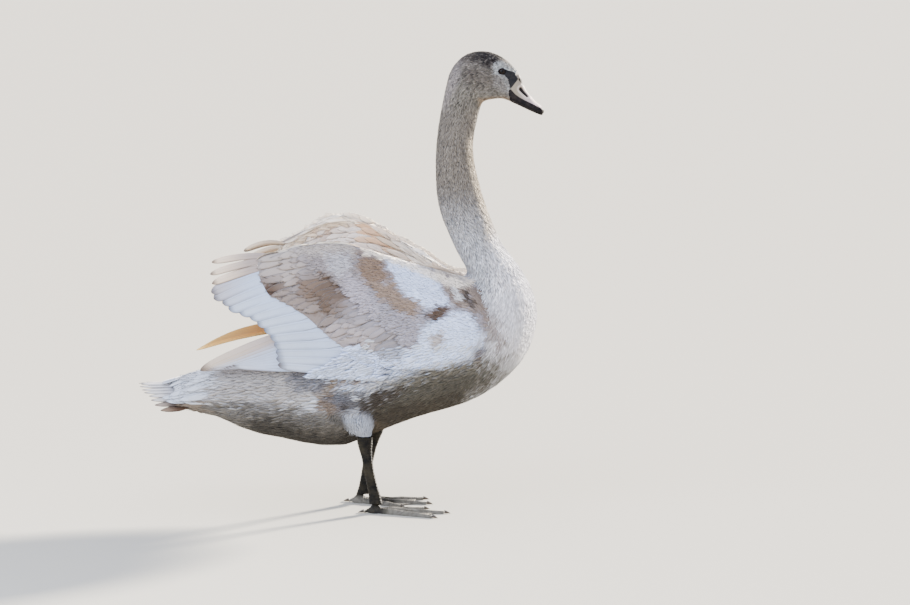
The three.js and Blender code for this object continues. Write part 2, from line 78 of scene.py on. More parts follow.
WELD = 1e-5  # how near each other two vertices of a solid's copy are when they are one
LIGHT = np.array([1.52, 1.57, 1.76])  # how strong each colour of the studio's soft light is


class Zone(Enum):
    """The parts of the bird whose plumage is laid in different ways."""

    BODY = 0
    WING_OUTER = 1
    WING_INNER = 2


# ---------------------------------------------------------------------------- numbers and curves


def srgb(red: float, green: float, blue: float) -> np.ndarray:
    """Turns a colour written from 0 to 255 into linear light."""
    share = np.array([red, green, blue], float) / 255
    return np.where(share <= 0.04045, share / 12.92, ((share + 0.055) / 1.055) ** 2.4)


def tone(red: float, green: float, blue: float) -> np.ndarray:
    """The surface colour that shows as this colour, written from 0 to 255, in the studio's soft light."""
    colour = np.maximum(0.85 * (srgb(red, green, blue) / 0.62) ** 1.5 / LIGHT, 0.004)
    return colour * min(1.0, 0.93 / colour.max())


def smooth(low: float, high: float, value: np.ndarray) -> np.ndarray:
    """Rises smoothly from 0 at low to 1 at high."""
    t = np.clip((np.asarray(value, float) - low) / (high - low), 0, 1)
    return t * t * (3 - 2 * t)


def unit(vectors: np.ndarray) -> np.ndarray:
    """Scales each vector to length 1."""
    return vectors / np.maximum(np.linalg.norm(vectors, axis=-1, keepdims=True), 1e-12)


def placed(points: list | np.ndarray) -> np.ndarray:
    """Turns points in the bird's own millimetres into metres in the frame."""
    return (np.asarray(points, float) + [FORWARD_MM, 0, 0]) * MM


def own(points: np.ndarray) -> np.ndarray:
    """Turns points in metres in the frame into the bird's own millimetres."""
    return np.asarray(points, float) / MM - [FORWARD_MM, 0, 0]


def side_word(side: int) -> str:
    """The name of a side, as the solids' names have it."""
    return "right" if side == RIGHT else "left"


def mixed(first: np.ndarray, second: np.ndarray, share: np.ndarray | float) -> np.ndarray:
    """Goes from the first value to the second as the share goes from 0 to 1."""
    return first * (1 - share) + second * share


def side_view(points: np.ndarray) -> np.ndarray:
    """The places of points as they are seen from the side, x and z."""
    return points[:, [0, 2]]


def outward(points: np.ndarray) -> np.ndarray:
    """Points with y counted outwards from the middle on either side."""
    return np.stack([points[:, 0], np.abs(points[:, 1]), points[:, 2]], 1)


def read(table: list | tuple | np.ndarray, known: np.ndarray, at: np.ndarray | float) -> np.ndarray:
    """Reads each column of a table, whose rows are known at rising numbers, at other numbers."""
    return np.stack([np.interp(at, known, column) for column in np.asarray(table, float).T], -1)


def head_turned(points: np.ndarray, back: bool = False) -> np.ndarray:
    """Turns points, in the bird's own millimetres, with the head.

    Args:
        points: places as the head has them when it looks straight ahead.
        back: turns them the other way, from the head as it stands to one that looks straight ahead.

    Returns:
        The turned places.
    """
    angle = -HEAD_TURN if back else HEAD_TURN
    turned = np.array(points, float)
    ahead, side = turned[..., 0] - HEAD_AXIS_MM, turned[..., 1].copy()
    turned[..., 0] = HEAD_AXIS_MM + ahead * math.cos(angle) - side * math.sin(angle)
    turned[..., 1] = ahead * math.sin(angle) + side * math.cos(angle)
    return turned


def run_along(points: np.ndarray) -> np.ndarray:
    """How far each point of a path is from its start, measured along it."""
    return np.concatenate([[0], np.cumsum(np.linalg.norm(np.diff(points, axis=0), axis=1))])


class Line:
    """A smooth line through points, read by its share of the way along."""

    def __init__(self, points: list | tuple, steps: int = 200) -> None:
        """Args: points to go through, and how many short steps the line is kept as."""
        known = np.asarray(points, float)
        ends = np.vstack([2 * known[0] - known[1], known, 2 * known[-1] - known[-2]])
        rows = []
        for i in range(len(known) - 1):
            a, b, c, d = ends[i : i + 4]
            t = np.linspace(0, 1, 24, endpoint=False)[:, None]
            square, cube = 2 * a - 5 * b + 4 * c - d, 3 * b - a - 3 * c + d
            rows.append(0.5 * (2 * b + (c - a) * t + square * t**2 + cube * t**3))
        dense = np.vstack([*rows, known[-1:]])
        run = run_along(dense)
        self.shares = np.linspace(0, 1, steps)
        self.points = read(dense, run, self.shares * run[-1])

    def at(self, share: np.ndarray | float) -> np.ndarray:
        """The points at shares of the way along."""
        return read(self.points, self.shares, np.asarray(share, float))

    def nearest(self, points: np.ndarray) -> np.ndarray:
        """The share of the way along at which the line comes nearest to each point.

        Args:
            points: places, with as many numbers each as the line's.

        Returns:
            A share for each place.
        """
        found = np.empty(len(points))
        for start in range(0, len(points), 20000):
            part = points[start : start + 20000]
            gaps = ((part[:, None, :] - self.points[None, :, :]) ** 2).sum(2)
            found[start : start + 20000] = self.shares[gaps.argmin(1)]
        return found

    def direction(self, share: np.ndarray) -> np.ndarray:
        """The way the line runs at shares of the way along."""
        return unit(self.at(np.clip(share + 0.02, 0, 1)) - self.at(np.clip(share - 0.02, 0, 1)))


def spread(table: tuple, points: np.ndarray, sharpness: float) -> np.ndarray:
    """Blends the values of a table with rows of x, z and value over points, the nearest counting most.

    Args:
        table: rows of x, z and value.
        points: places seen from the side.
        sharpness: how quickly a row counts less with its distance.

    Returns:
        A value for each place.
    """
    known = np.array(table, float)
    gaps = np.sqrt(((points[:, None, :] - known[None, :, :2]) ** 2).sum(2)) + 4
    weights = gaps**-sharpness
    weights /= weights.sum(1, keepdims=True)
    return weights @ known[:, 2]


def cloud(points: np.ndarray, size: float) -> np.ndarray:
    """A smooth, irregular value from -1 to 1 that changes over about a size in millimetres.

    Args:
        points: places in millimetres.
        size: how large the clouds are.

    Returns:
        A value for each place.
    """
    x, y, z = (points[:, k] / size for k in range(3))
    swirl = np.sin(x * 1.7 + 2.1 * np.sin(z * 0.9 + y * 0.6))
    return swirl * np.sin(z * 1.3 + 1.8 * np.sin(x * 0.8 - y * 0.5) + 1.0)


def slid(points: np.ndarray, run: np.ndarray, distance: np.ndarray) -> np.ndarray:
    """Points moved by their own distances along their own directions, which lie in the side view.

    Args:
        points: places to move.
        run: each one's direction, x and z.
        distance: how far each one moves.

    Returns:
        The moved places.
    """
    moved = points.copy()
    moved[:, [0, 2]] += run * distance[:, None]
    return moved


def segment_gap(points: np.ndarray, first: tuple | np.ndarray, last: tuple | np.ndarray) -> np.ndarray:
    """How far each point is from the stretch between two places.

    Args:
        points: places of a plane or of space.
        first: where the stretch starts.
        last: where it ends.

    Returns:
        A distance for each place.
    """
    a, b = np.asarray(first, float), np.asarray(last, float)
    along = np.clip(((points - a) @ (b - a)) / ((b - a) @ (b - a)), 0, 1)
    return np.linalg.norm(points - (a + along[:, None] * (b - a)), axis=1)


def polygon_depth(points: np.ndarray, corners: np.ndarray | tuple) -> np.ndarray:
    """How far each point of a plane lies inside a polygon, below 0 outside it.

    Args:
        points: places of a plane.
        corners: the polygon's corners in order.

    Returns:
        A depth for each place.
    """
    best = np.full(len(points), 1e9)
    inside = np.zeros(len(points), bool)
    outline = np.array(corners, float)
    for a, b in zip(outline, np.roll(outline, -1, axis=0)):
        best = np.minimum(best, segment_gap(points, a, b))
        crosses = (a[1] > points[:, 1]) != (b[1] > points[:, 1])
        at = (b[0] - a[0]) * (points[:, 1] - a[1]) / (b[1] - a[1] + 1e-12) + a[0]
        inside ^= crosses & (points[:, 0] < at)
    return np.where(inside, best, -best)


# ---------------------------------------------------------------------------- markings


@dataclass(frozen=True)
class Patch:
    """A soft-edged patch of colour, seen from the side, in the bird's own millimetres."""

    colour: np.ndarray
    corners: tuple
    edge: float = 10.0
    strength: float = 1.0

    def cover(self, points: np.ndarray, stray: np.ndarray) -> np.ndarray:
        """How much of each point it covers, from 0 to 1, when each strays over the edge by its own share."""
        depth = polygon_depth(side_view(points), self.corners)
        return self.strength * smooth(-self.edge, self.edge, depth + stray * self.edge)


WHITE = tone(210, 221, 248)
LILAC = tone(168, 166, 177)
GREY = tone(160, 155, 160)
BEIGE = tone(176, 166, 158)
TAN = tone(158, 144, 136)
BROWN = tone(136, 122, 115)
UMBER = tone(112, 98, 90)
DARK = tone(78, 66, 60)
# the dusky belly colour, dark partly of itself and partly as painted shade of the underside
OLIVE = tone(108, 106, 102)
CREAM = tone(224, 212, 200)
INK = srgb(14, 12, 15)
FACE_WHITE = tone(186, 189, 194)
PLAIN = (1.0, 1.0, 1.0, 1.0)
# the near-white edges of the raised wing's fringe and crest: their pale edges, painted brighter as sunlit
# rims
SUNLIT_RIM_WHITE = tone(252, 246, 238)


@dataclass(frozen=True)
class Markings:
    """The colours of the plumage, with some painted light and shade among them, the same for the skin and for
    all that grows on it.
    """

    body: tuple = (
        Patch(tone(178, 176, 180), (
            (-400, 300), (-60, 300), (-20, 240), (-60, 202), (-180, 206), (-400, 200),
        ), 16),
        Patch(tone(202, 206, 218), (
            (-340, 300), (-226, 278), (-224, 238), (-286, 228), (-340, 226),
        ), 12, 0.85),
        # This patch and the six after it darken the lower flank, the belly and the foot of the breast: partly
        # their own dusky olive-grey, partly painted shade of the underside.
        Patch(tone(122, 119, 117), (
            (-330, 212), (-232, 208), (-178, 210), (-120, 212), (-60, 200), (-10, 206), (20, 220),
            (34, 190), (34, 130), (-120, 130), (-262, 176), (-330, 180),
        ), 13, 0.9),
        Patch(tone(66, 62, 57), (
            (-172, 168), (-128, 182), (-84, 176), (-60, 158), (20, 150), (90, 164), (60, 90), (-150, 90),
        ), 14, 0.85),
        Patch(tone(142, 139, 135), (
            (170, 300), (292, 320), (322, 310), (322, 262), (240, 190), (170, 190),
        ), 26, 0.85),
        Patch(OLIVE, (
            (60, 228), (112, 252), (150, 274), (222, 292), (262, 298), (290, 290), (296, 262), (262, 222),
            (190, 150), (60, 130),
        ), 20),
        Patch(tone(136, 134, 130), (
            (96, 258), (150, 284), (222, 302), (262, 310), (292, 302), (286, 284), (222, 276), (150, 258),
            (110, 240),
        ), 10, 0.6),
        Patch(tone(84, 78, 70), (
            (60, 206), (140, 214), (244, 236), (240, 204), (190, 150), (60, 130),
        ), 14, 0.85),
        Patch(tone(120, 112, 102), ((60, 176), (84, 180), (96, 160), (70, 140), (52, 150)), 8, 0.7),
        Patch(tone(134, 134, 142), (
            (-28, 246), (20, 246), (52, 250), (62, 238), (36, 226), (26, 200), (-20, 200),
        ), 10),
        Patch(WHITE, (
            (-30, 252), (34, 308), (110, 330), (262, 332), (285, 336), (262, 308), (156, 285), (94, 264),
            (52, 250), (18, 246),
        ), 12),
        Patch(tone(84, 76, 70), (
            (24, 204), (22, 212), (36, 225), (62, 230), (92, 243), (118, 252), (140, 250), (120, 220),
            (75, 205), (43, 200),
        ), 8, 0.8),
        Patch(tone(158, 148, 141), ((17, 286), (34, 292), (30, 269), (4, 246), (-24, 220), (-28, 238)), 8),
        Patch(tone(166, 154, 144), ((36, 286), (66, 289), (68, 258), (40, 256)), 8),
        Patch(tone(142, 130, 123), ((-28, 226), (-4, 232), (10, 206), (-6, 192), (-26, 200)), 9, 0.9),
        # painted shadow under the lower edge of the secondaries
        Patch(tone(140, 141, 151), (
            (-84, 272), (-34, 286), (-14, 280), (-18, 240), (-62, 238), (-84, 250),
        ), 10, 0.85),
        Patch(tone(156, 157, 168), ((90, 332), (140, 328), (136, 304), (96, 304)), 8, 0.7),
        # This patch and the three after it, brown with a dark core where the wing's front meets the breast
        # and the base of the neck, are partly brown plumage and partly painted shade in that join.
        Patch(UMBER, ((271, 324), (284, 324), (285, 298), (273, 292)), 7, 0.7),
        Patch(tone(150, 136, 128), ((286, 400), (312, 380), (326, 344), (316, 324), (292, 340)), 12, 0.65),
        Patch(UMBER, ((190, 466), (222, 458), (262, 424), (268, 396), (240, 404), (214, 436)), 9, 0.7),
        Patch(DARK, ((238, 446), (262, 434), (270, 410), (256, 412), (244, 428)), 6, 0.8),
    )
    wing: tuple = (
        Patch(GREY, ((-165, 500), (40, 540), (66, 470), (30, 380), (-50, 340), (-165, 400)), 14),
        Patch(tone(188, 182, 182), (
            (-160, 492), (-67, 520), (48, 526), (44, 500), (-60, 496), (-150, 470),
        ), 8, 0.8),
        Patch(tone(182, 174, 173), ((-151, 470), (-84, 492), (-60, 470), (-81, 440), (-136, 436)), 9, 0.7),
        Patch(tone(112, 96, 88), (
            (-158, 420), (-132, 442), (-103, 450), (-98, 434), (-118, 413), (-138, 394), (-158, 398),
        ), 5),
        Patch(tone(134, 119, 113), ((-164, 434), (-144, 450), (-116, 457), (-120, 442), (-144, 432)), 5, 0.7),
        Patch(TAN, (
            (-129, 412), (-98, 440), (-36, 396), (1, 380), (23, 373), (-21, 352), (-65, 383),
        ), 8, 0.4),
        Patch(BROWN, ((-72, 453), (-21, 467), (12, 450), (26, 413), (10, 376), (-36, 392), (-72, 430)), 10),
        Patch(UMBER, ((-36, 449), (-6, 453), (15, 424), (4, 388), (-21, 402), (-39, 430)), 9, 0.65),
        Patch(tone(180, 176, 188), ((20, 470), (65, 450), (91, 398), (42, 376), (24, 412)), 12),
        Patch(tone(170, 168, 180), ((30, 384), (166, 396), (190, 344), (148, 310), (40, 330)), 12),
        Patch(tone(146, 142, 148), (
            (4, 404), (40, 408), (66, 374), (84, 348), (60, 334), (30, 350), (8, 372),
        ), 10, 0.65),
        Patch(tone(190, 190, 200), ((-12, 502), (32, 504), (38, 474), (14, 462), (-8, 474)), 8, 0.8),
        Patch(tone(178, 172, 178), ((-31, 351), (28, 373), (90, 350), (110, 324), (50, 300), (4, 314)), 9),
        Patch(WHITE, (
            (94, 502), (155, 484), (204, 454), (232, 410), (207, 400), (172, 404), (138, 424), (112, 456),
        ), 6),
        Patch(tone(148, 132, 122), ((50, 508), (94, 500), (108, 468), (119, 449), (71, 446), (50, 473)), 8),
        Patch(TAN, ((73, 452), (120, 452), (142, 428), (178, 408), (160, 389), (124, 401), (88, 428)), 7),
        Patch(UMBER, ((184, 391), (204, 410), (230, 404), (219, 386), (197, 376)), 5),
        Patch(DARK, ((188, 386), (206, 385), (212, 374), (198, 372)), 4),
        Patch(WHITE, (
            (180, 372), (212, 386), (250, 404), (276, 380), (296, 336), (270, 296), (221, 280), (20, 270),
            (16, 296), (90, 318), (150, 318), (170, 338),
        ), 7),
        Patch(BEIGE, ((188, 350), (216, 364), (224, 346), (200, 330)), 7, 0.8),
        Patch(tone(158, 148, 144), (
            (236, 450), (262, 446), (284, 424), (298, 396), (302, 356), (290, 348), (286, 384), (268, 402),
        ), 7),
        Patch(tone(152, 150, 158), ((75, 351), (129, 344), (142, 324), (120, 306), (83, 308)), 8, 0.85),
        # This patch and the two after it, where the wing's front meets the base of the neck, darken to a dark
        # core: partly brown plumage, partly painted shade in that join.
        Patch(tone(158, 146, 138), (
            (189, 466), (222, 464), (262, 428), (272, 396), (240, 402), (213, 432),
        ), 6, 0.85),
        Patch(tone(120, 104, 94), (
            (212, 448), (222, 450), (238, 430), (254, 398), (242, 400), (226, 426),
        ), 5, 0.6),
        Patch(tone(74, 66, 62), (
            (246, 434), (256, 430), (270, 411), (272, 399), (260, 407), (249, 420),
        ), 4, 0.9),
        Patch(tone(212, 214, 222), ((224, 444), (234, 442), (246, 420), (240, 414), (228, 430)), 3, 0.8),
        # a painted highlight: the pale strip along the wing's top edge where the light catches it
        Patch(tone(236, 230, 226), (
            (56, 514), (142, 488), (200, 464), (240, 452), (262, 448), (260, 438), (234, 437), (195, 450),
            (142, 474), (60, 500),
        ), 4, 0.85),
    )
    inner: tuple = (
        Patch(tone(234, 232, 238), ((-60, 540), (40, 540), (80, 462), (0, 430), (-80, 450)), 12),
        # a painted highlight along the top of the inner face, where the sun falls on the raised wing
        Patch(tone(252, 246, 240), ((-80, 532), (52, 532), (50, 503), (-10, 500), (-80, 488)), 7, 0.9),
        Patch(tone(222, 194, 170), (
            (16, 516), (44, 512), (72, 500), (70, 474), (46, 466), (22, 490),
        ), 12, 0.9),
        Patch(tone(216, 190, 168), ((60, 484), (98, 486), (104, 462), (70, 458)), 10, 0.8),
        Patch(tone(178, 154, 142), ((-66, 508), (-40, 506), (-14, 494), (-22, 482), (-54, 494)), 8, 0.7),
        Patch(tone(238, 236, 238), ((92, 470), (92, 504), (129, 496), (180, 474), (180, 430), (129, 440)), 9),
        Patch(tone(208, 194, 184), ((176, 478), (244, 452), (244, 410), (176, 430)), 12, 0.8),
    )

    # Places of the head as it has them when it looks straight ahead.
    face: tuple = (
        Patch(
            tone(138, 136, 134),
            ((205, 790), (225, 850), (300, 850), (320, 800), (300, 770), (230, 750)),
            14,
            0.8,
        ),
        Patch(
            tone(110, 100, 95),
            ((252, 852), (291, 851), (308, 834), (300, 812), (265, 809), (250, 828)),
            14,
            0.5,
        ),
        Patch(
            tone(176, 171, 177),
            ((214, 850), (236, 868), (232, 838), (216, 800), (204, 770), (188, 770)),
            11,
            0.6,
        ),
        Patch(
            tone(86, 78, 74),
            ((228, 856), (244, 862), (268, 858), (282, 880), (250, 886), (230, 872)),
            8,
            0.85,
        ),
        Patch(tone(50, 38, 27), (
            (256, 862), (270, 866), (276, 854), (288, 852), (298, 860), (311, 866), (324, 864), (322, 878),
            (292, 892), (262, 884),
        ), 6),
        Patch(tone(172, 154, 136), ((268, 792), (318, 797), (330, 790), (318, 778), (266, 776)), 4, 0.6),
        Patch(FACE_WHITE, (
            (296, 853), (301, 860), (310, 863), (322, 858), (335, 852), (345, 840), (330, 841), (319, 844),
            (306, 838), (300, 840),
        ), 3.2, 0.95),
        Patch(tone(148, 146, 148), ((314, 862), (330, 855), (336, 848), (326, 850), (316, 856)), 3, 0.45),
        Patch(
            tone(164, 162, 164),
            ((299, 836), (314, 838), (326, 815), (327, 800), (312, 804), (302, 820)),
            6,
            0.6,
        ),
        Patch(tone(110, 104, 102), ((236, 852), (264, 852), (264, 826), (240, 820)), 9, 0.65),
        Patch(FACE_WHITE, (
            (306, 840), (319, 839), (327, 822), (328, 810), (323, 806), (321, 820), (315, 830),
        ), 2.6, 0.55),
    )
    # The heights and the front edge of the neck, where a pale strip lies: partly its paler throat, partly a
    # painted highlight on the neck's lit front edge.
    throat_z: tuple = (520, 558, 596, 634, 672, 710, 748)
    throat_x: tuple = (289, 287, 273, 264, 254, 254, 260)

    def colours(self, points: np.ndarray, zone: Zone, chance: np.random.Generator) -> np.ndarray:
        """The colour of the plumage at each place.

        Args:
            points: places in the bird's own millimetres, with a wing's as the right wing has them.
            zone: the part of the bird they are on.
            chance: gives each place its small difference.

        Returns:
            One linear colour for each place.
        """
        count = len(points)
        stray = chance.normal(0, 0.35, count) + 0.45 * cloud(points, 11)
        fleck = 0.05 * cloud(points, 24)
        if zone is Zone.BODY:
            patches, colour = self.body, self.trunk_and_neck(points)
            fade = 1 - smooth(420, 480, points[:, 2])
        else:
            outer = zone is Zone.WING_OUTER
            patches = self.wing if outer else self.inner
            colour = np.tile(LILAC if outer else tone(224, 218, 214), (count, 1))
            fade = np.ones(count)
        for patch in patches:
            colour = mixed(colour, patch.colour, (patch.cover(points, stray) * fade)[:, None])
        if zone is Zone.BODY:
            # the rear of the thigh is darker grey: partly its own colour, partly painted shade under the
            # belly
            rear = 1 - smooth(12, 30, points[:, 0:1])
            thigh = mixed(tone(182, 190, 210), tone(118, 118, 122), rear)
            colour = mixed(colour, thigh, thighness(points)[:, None])
            colour = self.head(points, colour, chance)
            fleck += self.flecks(points, colour)
        return colour * np.maximum(1 + chance.normal(0, 0.05, (count, 1)) + fleck[:, None], 0.3)

    def trunk_and_neck(self, points: np.ndarray) -> np.ndarray:
        """The ground colour, from the pale breast to the greyer neck and the dark belly, with painted
        highlights down the front and painted shade under the belly.

        Args:
            points: places in the bird's own millimetres.

        Returns:
            One linear colour for each place.
        """
        x, z = points[:, 0:1], points[:, 2:3]
        colour = mixed(tone(199, 202, 213), tone(145, 141, 139), smooth(480, 640, z))
        ahead = x - np.interp(z, self.throat_z, self.throat_x)
        # a pale strip down the front of the neck: partly its paler throat, partly a painted highlight where
        # light catches that edge
        throat = 0.75 * smooth(-16, -5, ahead) * smooth(500, 545, z) * (1 - smooth(690, 735, z))
        colour = mixed(colour, tone(196, 188, 178), throat)
        # the front edge of the breast painted paler: a painted highlight where light falls on it
        front = smooth(272, 318, x) * (1 - smooth(520, 640, z)) * smooth(270, 330, z)
        colour = mixed(colour, tone(224, 225, 236), front)
        # darker towards the bottom: partly the belly's own dusky colour, partly painted shade of the
        # underside
        return mixed(colour, OLIVE, 1 - smooth(150, 215, z))

    def head(self, points: np.ndarray, colour: np.ndarray, chance: np.random.Generator) -> np.ndarray:
        """Adds the mottled crown, the pale ring round the eye, the pale cheek edge and the warm chin.

        Args:
            points: places in the bird's own millimetres.
            colour: their colours so far.
            chance: the source of small differences.

        Returns:
            One linear colour for each place.
        """
        local = head_turned(points, back=True)
        speckle = chance.normal(0, 1, len(points))
        missed = speckle + cloud(local, 2.4) > 0.9
        for patch in self.face:
            cover = patch.cover(local, 0.3 * speckle) * smooth(740, 790, points[:, 2])
            dark = patch.colour.sum() < 0.4
            colour = mixed(colour, patch.colour, (cover * (1 - 0.45 * dark * missed))[:, None])
        return colour

    @staticmethod
    def flecks(points: np.ndarray, colour: np.ndarray) -> np.ndarray:
        """The fine light and dark flecks of the upper body, the neck and the face.

        Args:
            points: places in the bird's own millimetres.
            colour: their colours.

        Returns:
            How much lighter each place is, as a share.
        """
        fine = points * [1.0, 1.0, 0.55]
        upper = smooth(300, 420, points[:, 2]) * (0.22 * cloud(fine, 3.1) + 0.2 * cloud(fine + 31, 1.9))
        dull = 1 - 0.7 * smooth(0.3, 0.42, colour.mean(1))
        face = smooth(730, 790, points[:, 2]) * dull
        return upper + face * (0.38 * cloud(points, 2.2) + 0.34 * cloud(points + 17, 1.4))


# The outline of the bare skin before the eye, on the head as it looks straight ahead.
LORES_MM = (
    (317, 849), (341.5, 841), (341.5, 829), (332, 816), (328, 811), (326.5, 817), (324, 829), (315, 841),
)
LIDS_MM = 5.3  # how far the bare rim of the lids reaches from the middle of the eye
# The outline of all that lies ahead of the line where feathers and bare skin end.
BILL_FACE_MM = (
    (342, 842), (341.8, 829), (332, 816), (328, 811), (324.5, 809), (325.5, 798), (326.5, 786), (330, 770),
    (430, 700), (430, 842),
)


def on_bill(local: np.ndarray) -> np.ndarray:
    """How far ahead of the line where the feathers and the bare skin end each point lies, in millimetres."""
    return polygon_depth(side_view(local), BILL_FACE_MM)


def bareness(points: np.ndarray) -> np.ndarray:
    """1 on the bare skin before and round the eye, in the bird's own millimetres, and 0 on the feathers.

    Args:
        points: places in the bird's own millimetres.

    Returns:
        A share for each place.
    """
    local = head_turned(points, back=True)
    lids = LIDS_MM - np.hypot((local[:, 0] - Eye.x_mm) / 1.34, local[:, 2] - Eye.z_mm)
    depth = np.maximum(polygon_depth(side_view(local), LORES_MM), lids)
    return smooth(-0.8, 0.8, depth) * smooth(6, 9, np.abs(local[:, 1])) * smooth(780, 800, local[:, 2])


# ---------------------------------------------------------------------------- meshes


def alone(*objects: bpy.types.Object) -> None:
    """Selects these objects and nothing else, and makes the first one active.

    Args:
        objects: one or more objects.
    """
    bpy.ops.object.select_all(action="DESELECT")
    for item in objects:
        item.select_set(True)
    bpy.context.view_layer.objects.active = objects[0]


def mesh_object(name: str, vertices: np.ndarray, triangles: np.ndarray) -> bpy.types.Object:
    """Makes an object from arrays of vertices and of triangles.

    Args:
        name: the object's name.
        vertices: places in metres.
        triangles: three numbers of vertices each.

    Returns:
        The new object.
    """
    mesh = bpy.data.meshes.new(name)
    mesh.vertices.add(len(vertices))
    mesh.vertices.foreach_set("co", np.ascontiguousarray(vertices, np.float32).ravel())
    mesh.loops.add(triangles.size)
    mesh.loops.foreach_set("vertex_index", np.ascontiguousarray(triangles, np.int32).ravel())
    mesh.polygons.add(len(triangles))
    mesh.polygons.foreach_set("loop_start", np.arange(0, triangles.size, 3, dtype=np.int32))
    mesh.update(calc_edges=True)
    mesh.polygons.foreach_set("use_smooth", np.ones(len(triangles), bool))
    item = bpy.data.objects.new(name, mesh)
    bpy.context.scene.collection.objects.link(item)
    return item


def vectors(values: bpy.types.bpy_prop_collection, name: str) -> np.ndarray:
    """One vector of each entry of a collection as an array.

    Args:
        values: a collection of a mesh.
        name: the vector's name.

    Returns:
        One row for each entry.
    """
    flat = np.empty(len(values) * 3, np.float32)
    values.foreach_get(name, flat)
    return flat.reshape(-1, 3).astype(float)


def places_of(item: bpy.types.Object) -> np.ndarray:
    """The vertices of an object as an array."""
    return vectors(item.data.vertices, "co")


def normals_of(item: bpy.types.Object) -> np.ndarray:
    """The vertex normals of an object as an array."""
    return vectors(item.data.vertex_normals, "vector")


def move_to(item: bpy.types.Object, vertices: np.ndarray) -> None:
    """Gives the vertices of an object new places."""
    item.data.vertices.foreach_set("co", np.ascontiguousarray(vertices, np.float32).ravel())
    item.data.update()


def swell(item: bpy.types.Object, height_mm: np.ndarray) -> None:
    """Moves each vertex of an object out along its normal."""
    move_to(item, places_of(item) + normals_of(item) * (height_mm * MM)[:, None])


def write_colours(item: bpy.types.Object, colours: np.ndarray) -> None:
    """Stores one linear colour for each vertex as the attribute tint, which every finish reads.

    Args:
        item: the object.
        colours: a linear colour for each vertex.
    """
    layer = item.data.attributes.new("tint", "FLOAT_COLOR", "POINT")
    four = np.ones((len(colours), 4), np.float32)
    four[:, :3] = np.clip(colours, 0, 1)
    layer.data.foreach_set("color", four.ravel())


def apply_modifiers(item: bpy.types.Object) -> None:
    """Applies every modifier of an object in order.

    Args:
        item: the object.
    """
    alone(item)
    for modifier in list(item.modifiers):
        bpy.ops.object.modifier_apply(modifier=modifier.name)


def joined_copy(name: str, nodes: list) -> bpy.types.Object:
    """Joins copies of solids into one object.

    Args:
        name: the new object's name.
        nodes: the solids, which are left as they are.

    Returns:
        The new object.
    """
    copies = []
    for node in nodes:
        copies.append(bpy.data.objects.new(name, node.data.copy()))
        bpy.context.scene.collection.objects.link(copies[-1])
    alone(*copies)
    if len(copies) > 1:
        bpy.ops.object.join()
    return bpy.context.view_layer.objects.active


def fused_copy(name: str, nodes: list, voxel: float, growth: float, smoothing: int) -> bpy.types.Object:
    """Joins copies of solids into one closed, smooth mesh.

    Args:
        name: the new object's name.
        nodes: the solids, which are left as they are.
        voxel: the size of the new mesh's faces.
        growth: how far the copies grow first, so that they meet across their gaps.
        smoothing: how many rounds of smoothing follow.

    Returns:
        The new object, all quads, at the origin.
    """
    item = joined_copy(name, nodes)
    item.data.materials.clear()
    bpy.ops.object.mode_set(mode="EDIT")
    bpy.ops.mesh.select_all(action="SELECT")
    bpy.ops.mesh.remove_doubles(threshold=WELD)
    bpy.ops.mesh.normals_make_consistent(inside=False)
    bpy.ops.object.mode_set(mode="OBJECT")
    grow = item.modifiers.new("Grow", "DISPLACE")
    grow.strength = growth
    grow.mid_level = 0
    remesh = item.modifiers.new("Remesh", "REMESH")
    remesh.mode = "VOXEL"
    remesh.voxel_size = voxel
    remesh.use_smooth_shade = True
    even = item.modifiers.new("Smooth", "SMOOTH")
    even.factor = 0.5
    even.iterations = smoothing
    apply_modifiers(item)
    item.name = item.data.name = name
    return item


